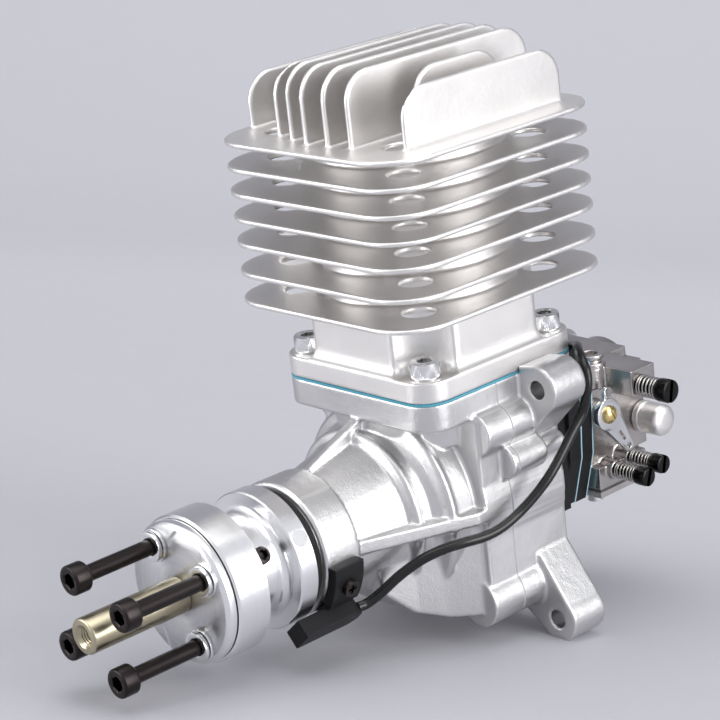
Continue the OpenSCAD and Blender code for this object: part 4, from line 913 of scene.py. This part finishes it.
# %% Flat washers and split spring washers of the propeller screws
def split_ring(inner, outer, thickness, rise):
    """Cross sections of a split washer: a flat ring that is cut and twisted open."""
    rows = []
    for i in range(41):
        t = i / 40
        angle = math.radians(4 + 352 * t)
        lift = rise * (t - 0.5)
        edge = eased([(inner, 0.5), (inner, 1), (outer, 1), (outer, 0), (inner, 0), (inner, 0.5)], 0.18, 2)
        rows.append([Vector((p[0] * math.cos(angle), p[0] * math.sin(angle), (p[1] - 0.5) * thickness + lift))
                     for p in edge[:-1]])
    return rows


flat_profile = eased([(2.7, 0.5), (2.7, 1), (4.8, 1), (4.8, 0), (2.7, 0), (2.7, 0.5)], 0.22)
flat = [ring_of(p[0], p[1]) for p in flat_profile[:-1]]
new_piece("flat_washers", [(flat, True, pointing((x, 0, z), FORWARD)) for x, z in PROP_PLACES],
          "prop_flat_washers", "zinc_steel")
SPLIT_WASHER_Y = -1.85
twist = Matrix.Rotation(math.radians(200), 4, "Z")
split = split_ring(2.6, 4.35, 1.2, 0.55)
new_piece("split_washers",
          [(split, False, pointing((x, SPLIT_WASHER_Y, z), FORWARD) @ twist) for x, z in PROP_PLACES],
          "prop_spring_washers", "zinc_steel")

# %% Centre sleeve and set screw, with real threads
PITCH = 0.8
THREAD_DEPTH = 0.4


def threaded(core, heights):
    return [ring_of(thread(core, THREAD_DEPTH, PITCH, height), height) for height in heights]


sleeve_profile = eased([(4.4, -9.4), (4.4, 0), (5.2, 0), (5.2, 32.7), (3.4, 32.7)], 0.9, 4)
sleeve = [ring_of(p[0], p[1]) for p in sleeve_profile]
sleeve += threaded(2.25, [31.8 - i * 0.1 for i in range(100)]) + [ring_of(2.0, 21.8)]
new_piece("threaded_sleeve", [(sleeve, False, pointing((0, 0, 0), FORWARD))], "centre_sleeve", "yellow_steel")

SET_ANGLE = math.radians(29)
SET_SCREW_Y = 18.13
SET_SCREW_FOOT_R = 8.3
outwards = Vector((math.cos(SET_ANGLE), 0, math.sin(SET_ANGLE)))
grub = [ring_of(1.9, 0)] + threaded(2.1, [0.3 + i * 0.1 for i in range(95)])
grub += [ring_of(1.9, 10), ring_of(1.55, 10)]
grub += [ring_of(hexagon(2.5), 9.8), ring_of(hexagon(2.5), 8), ring_of(0.4, 7.6)]
grub_foot = outwards * SET_SCREW_FOOT_R + Vector((0, SET_SCREW_Y, 0))
new_piece("hub_grub_screw", [(grub, False, pointing(grub_foot, outwards))], "hub_set_screw", "black_steel")

# %% [markdown]
# ## Carburettor hardware
#
# The adjusting screws have black slotted heads on thin shanks, each with a wound
# spring that stops it from turning by itself. A spring is a curve with a bevel.
# Its end turns lie flat against each other and its middle turns are open.

# %% Wound springs
def helix(at_mm, radius, wire, length, turns, steps=24):
    """Centre line of a spring along +X with one closed turn at each end."""
    points = []
    for i in range(turns * steps + 1):
        turn = i / steps
        if turn < 1:
            rise = wire * turn
        elif turn > turns - 1:
            rise = length - wire - wire * (turns - turn)
        else:
            rise = wire + (length - 3 * wire) * (turn - 1) / (turns - 2)
        angle = 2 * math.pi * turn
        offset = Vector((rise + wire / 2, radius * math.cos(angle), radius * math.sin(angle)))
        points.append((Vector(at_mm) + offset) * MM)
    return points


def spring(name, node, at_mm, radius, wire, length, turns):
    piece = tube_curve(name, helix(at_mm, radius, wire, length, turns), wire * MM, body_of_node(node))
    piece.data.bevel_resolution = 2
    piece.data.materials.append(finishes["spring_steel"])
    return piece


IDLE_YZ = (157.2, 16.9)
RICH_YZ = (151.2, -9.7)
LEAN_YZ = (158.3, -7.9)
THROTTLE_YZ = (147.9, 9.5)
idle_spring = spring("idle_spring", "screw_springs", (31.1, *IDLE_YZ), 3.1, 0.6, 7.4, 6)
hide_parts("screw_springs")
spring("rich_spring", "screw_springs", (24.7, *RICH_YZ), 2.45, 0.5, 7.8, 7)
spring("lean_spring", "screw_springs", (24.7, *LEAN_YZ), 2.45, 0.5, 7.8, 7)
lever_spring = spring("lever_spring", "return_spring", (19.6, *THROTTLE_YZ), 3.7, 0.5, 4.2, 5)
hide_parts("return_spring")
print("springs wound")


# %% Slotted adjusting screws and the domed lever screw
SIDEWAYS = (1, 0, 0)


def slotted(piece, at_mm, direction, size_mm, turn):
    """Cuts a screwdriver slot across the end of a piece."""
    box = bmesh.new()
    bmesh.ops.create_cube(box, size=1)
    box.transform(pointing(at_mm, direction) @ Matrix.Rotation(math.radians(turn), 4, "Z")
                  @ Matrix.Diagonal((*size_mm, 1)))
    mesh = bpy.data.meshes.new("slot")
    box.to_mesh(mesh)
    box.free()
    tool = bpy.data.objects.new("slot", mesh)
    bpy.context.scene.collection.objects.link(tool)
    cut = piece.modifiers.new("slot", "BOOLEAN")
    cut.object = tool
    cut.solver = "EXACT"
    apply_modifiers(piece).set_sharp_from_angle(angle=SHARP_FROM)
    bpy.data.objects.remove(tool)


def adjusting_screw(name, node, x, yz, shank, depth, spring_length, head, head_length, turn):
    """A screw along +X whose head stands past its spring, with its slot turned by some degrees."""
    end = spring_length + head_length
    profile = [(shank / 2 - 0.4, -depth), (shank / 2, -depth + 0.5), (shank / 2, spring_length),
               (head / 2, spring_length), (head / 2, end), (0.4, end)]
    rows = [ring_of(p[0], p[1]) for p in eased(profile, 0.5)]
    piece = new_piece(name, [(rows, False, pointing((x, *yz), SIDEWAYS))], node, "black_oxide")
    slotted(piece, (x + end, *yz), SIDEWAYS, (1.3, 2 * head, 3.4), turn)


adjusting_screw("idle_stop_screw", "idle_screw", 31, IDLE_YZ, 4, 18, 7.6, 7.2, 4.2, -12)
adjusting_screw("rich_mixture_screw", "rich_needle", 24.6, RICH_YZ, 3, 14, 8, 5.8, 4.3, -20)
adjusting_screw("lean_mixture_screw", "lean_needle", 24.6, LEAN_YZ, 3, 14, 8, 5.8, 4.3, -15)

dome = [(1.45, 0), (1.45, 4.5), (2.8, 4.5), (2.8, 5), (2.5, 5.5), (1.8, 5.95), (1, 6.2), (0.3, 6.28)]
dome_rings = [ring_of(p[0], p[1]) for p in eased(dome, 0.15, 2)]
lever_dome = new_piece("lever_dome_screw", [(dome_rings, False, pointing((21.2, *THROTTLE_YZ), SIDEWAYS))],
                       "lever_screw", "brass")
slotted(lever_dome, (27.5, *THROTTLE_YZ), SIDEWAYS, (0.5, 7, 1), 30)

# %% Fuel union and the fitting on top
union = eased([(4.3, 0), (5, 0.4), (5, 2.2), (4.4, 2.4), (4.4, 3.2), (5, 3.5), (5, 8.8), (4.4, 9.7),
               (2.6, 10.3), (0.3, 10.4)], 0.5)
fitting = eased([(4.6, 0), (4.6, 1.6), (3.6, 1.9), (3.6, 2.5), (4.3, 2.8), (4.3, 4.2), (2.3, 4.2),
                 (2.3, 2), (0.3, 1.7)], 0.35)
for name, profile, at, direction, node, finish in (
        ("rear_fuel_union", union, (19, 169.3, 1.2), SIDEWAYS, "fuel_union", "pale_fitting"),
        ("top_fuel_fitting", fitting, (16.6, 151.1, 22.5), (0, 0, 1), "fuel_nipple", "carb_metal")):
    new_piece(name, [([ring_of(p[0], p[1]) for p in profile], False, pointing(at, direction))], node, finish)

# %% [markdown]
# The propeller washer and the lever only need their edges broken, so a bevel on
# a copy is enough. The washer's face is turned flat on the lathe, so it is a little
# rougher than its rim; its darker colour is painted shade. The chamfer at the
# joint between it and the hub is painted black: painted shade in the groove.

# %% Bevelled copies
def bevelled_copy(node, width_mm, finish):
    piece = add_piece(node + "_eased", closed_copy(node), node, finish)
    bevel = piece.modifiers.new("bevel", "BEVEL")
    bevel.width = width_mm * MM
    bevel.segments = 2
    bevel.limit_method = "ANGLE"
    bevel.angle_limit = math.radians(40)
    bevel.use_clamp_overlap = True
    mesh = apply_modifiers(piece)
    mesh.name = piece.name
    mesh.shade_smooth()
    mesh.set_sharp_from_angle(angle=math.radians(28))
    print(piece.name, len(mesh.polygons), "faces")
    return piece


washer = bevelled_copy("prop_washer", 0.2, "machined")
WASHER_RIM_R = 20.2 * MM
# Painted shade: the forward face takes a darker turned finish, and the rear chamfer at the hub takes black.
washer.data.materials.append(finishes["faced_painted_shade"])
washer.data.materials.append(finishes["black_oxide"])
for face in washer.data.polygons:
    rim = math.hypot(face.center.x, face.center.z) > WASHER_RIM_R
    if face.normal.y < -0.98:
        face.material_index = 1
    elif rim and 0.3 < face.normal.y < 0.95:
        face.material_index = 2
bevelled_copy("throttle_lever", 0.12, "zinc_steel")
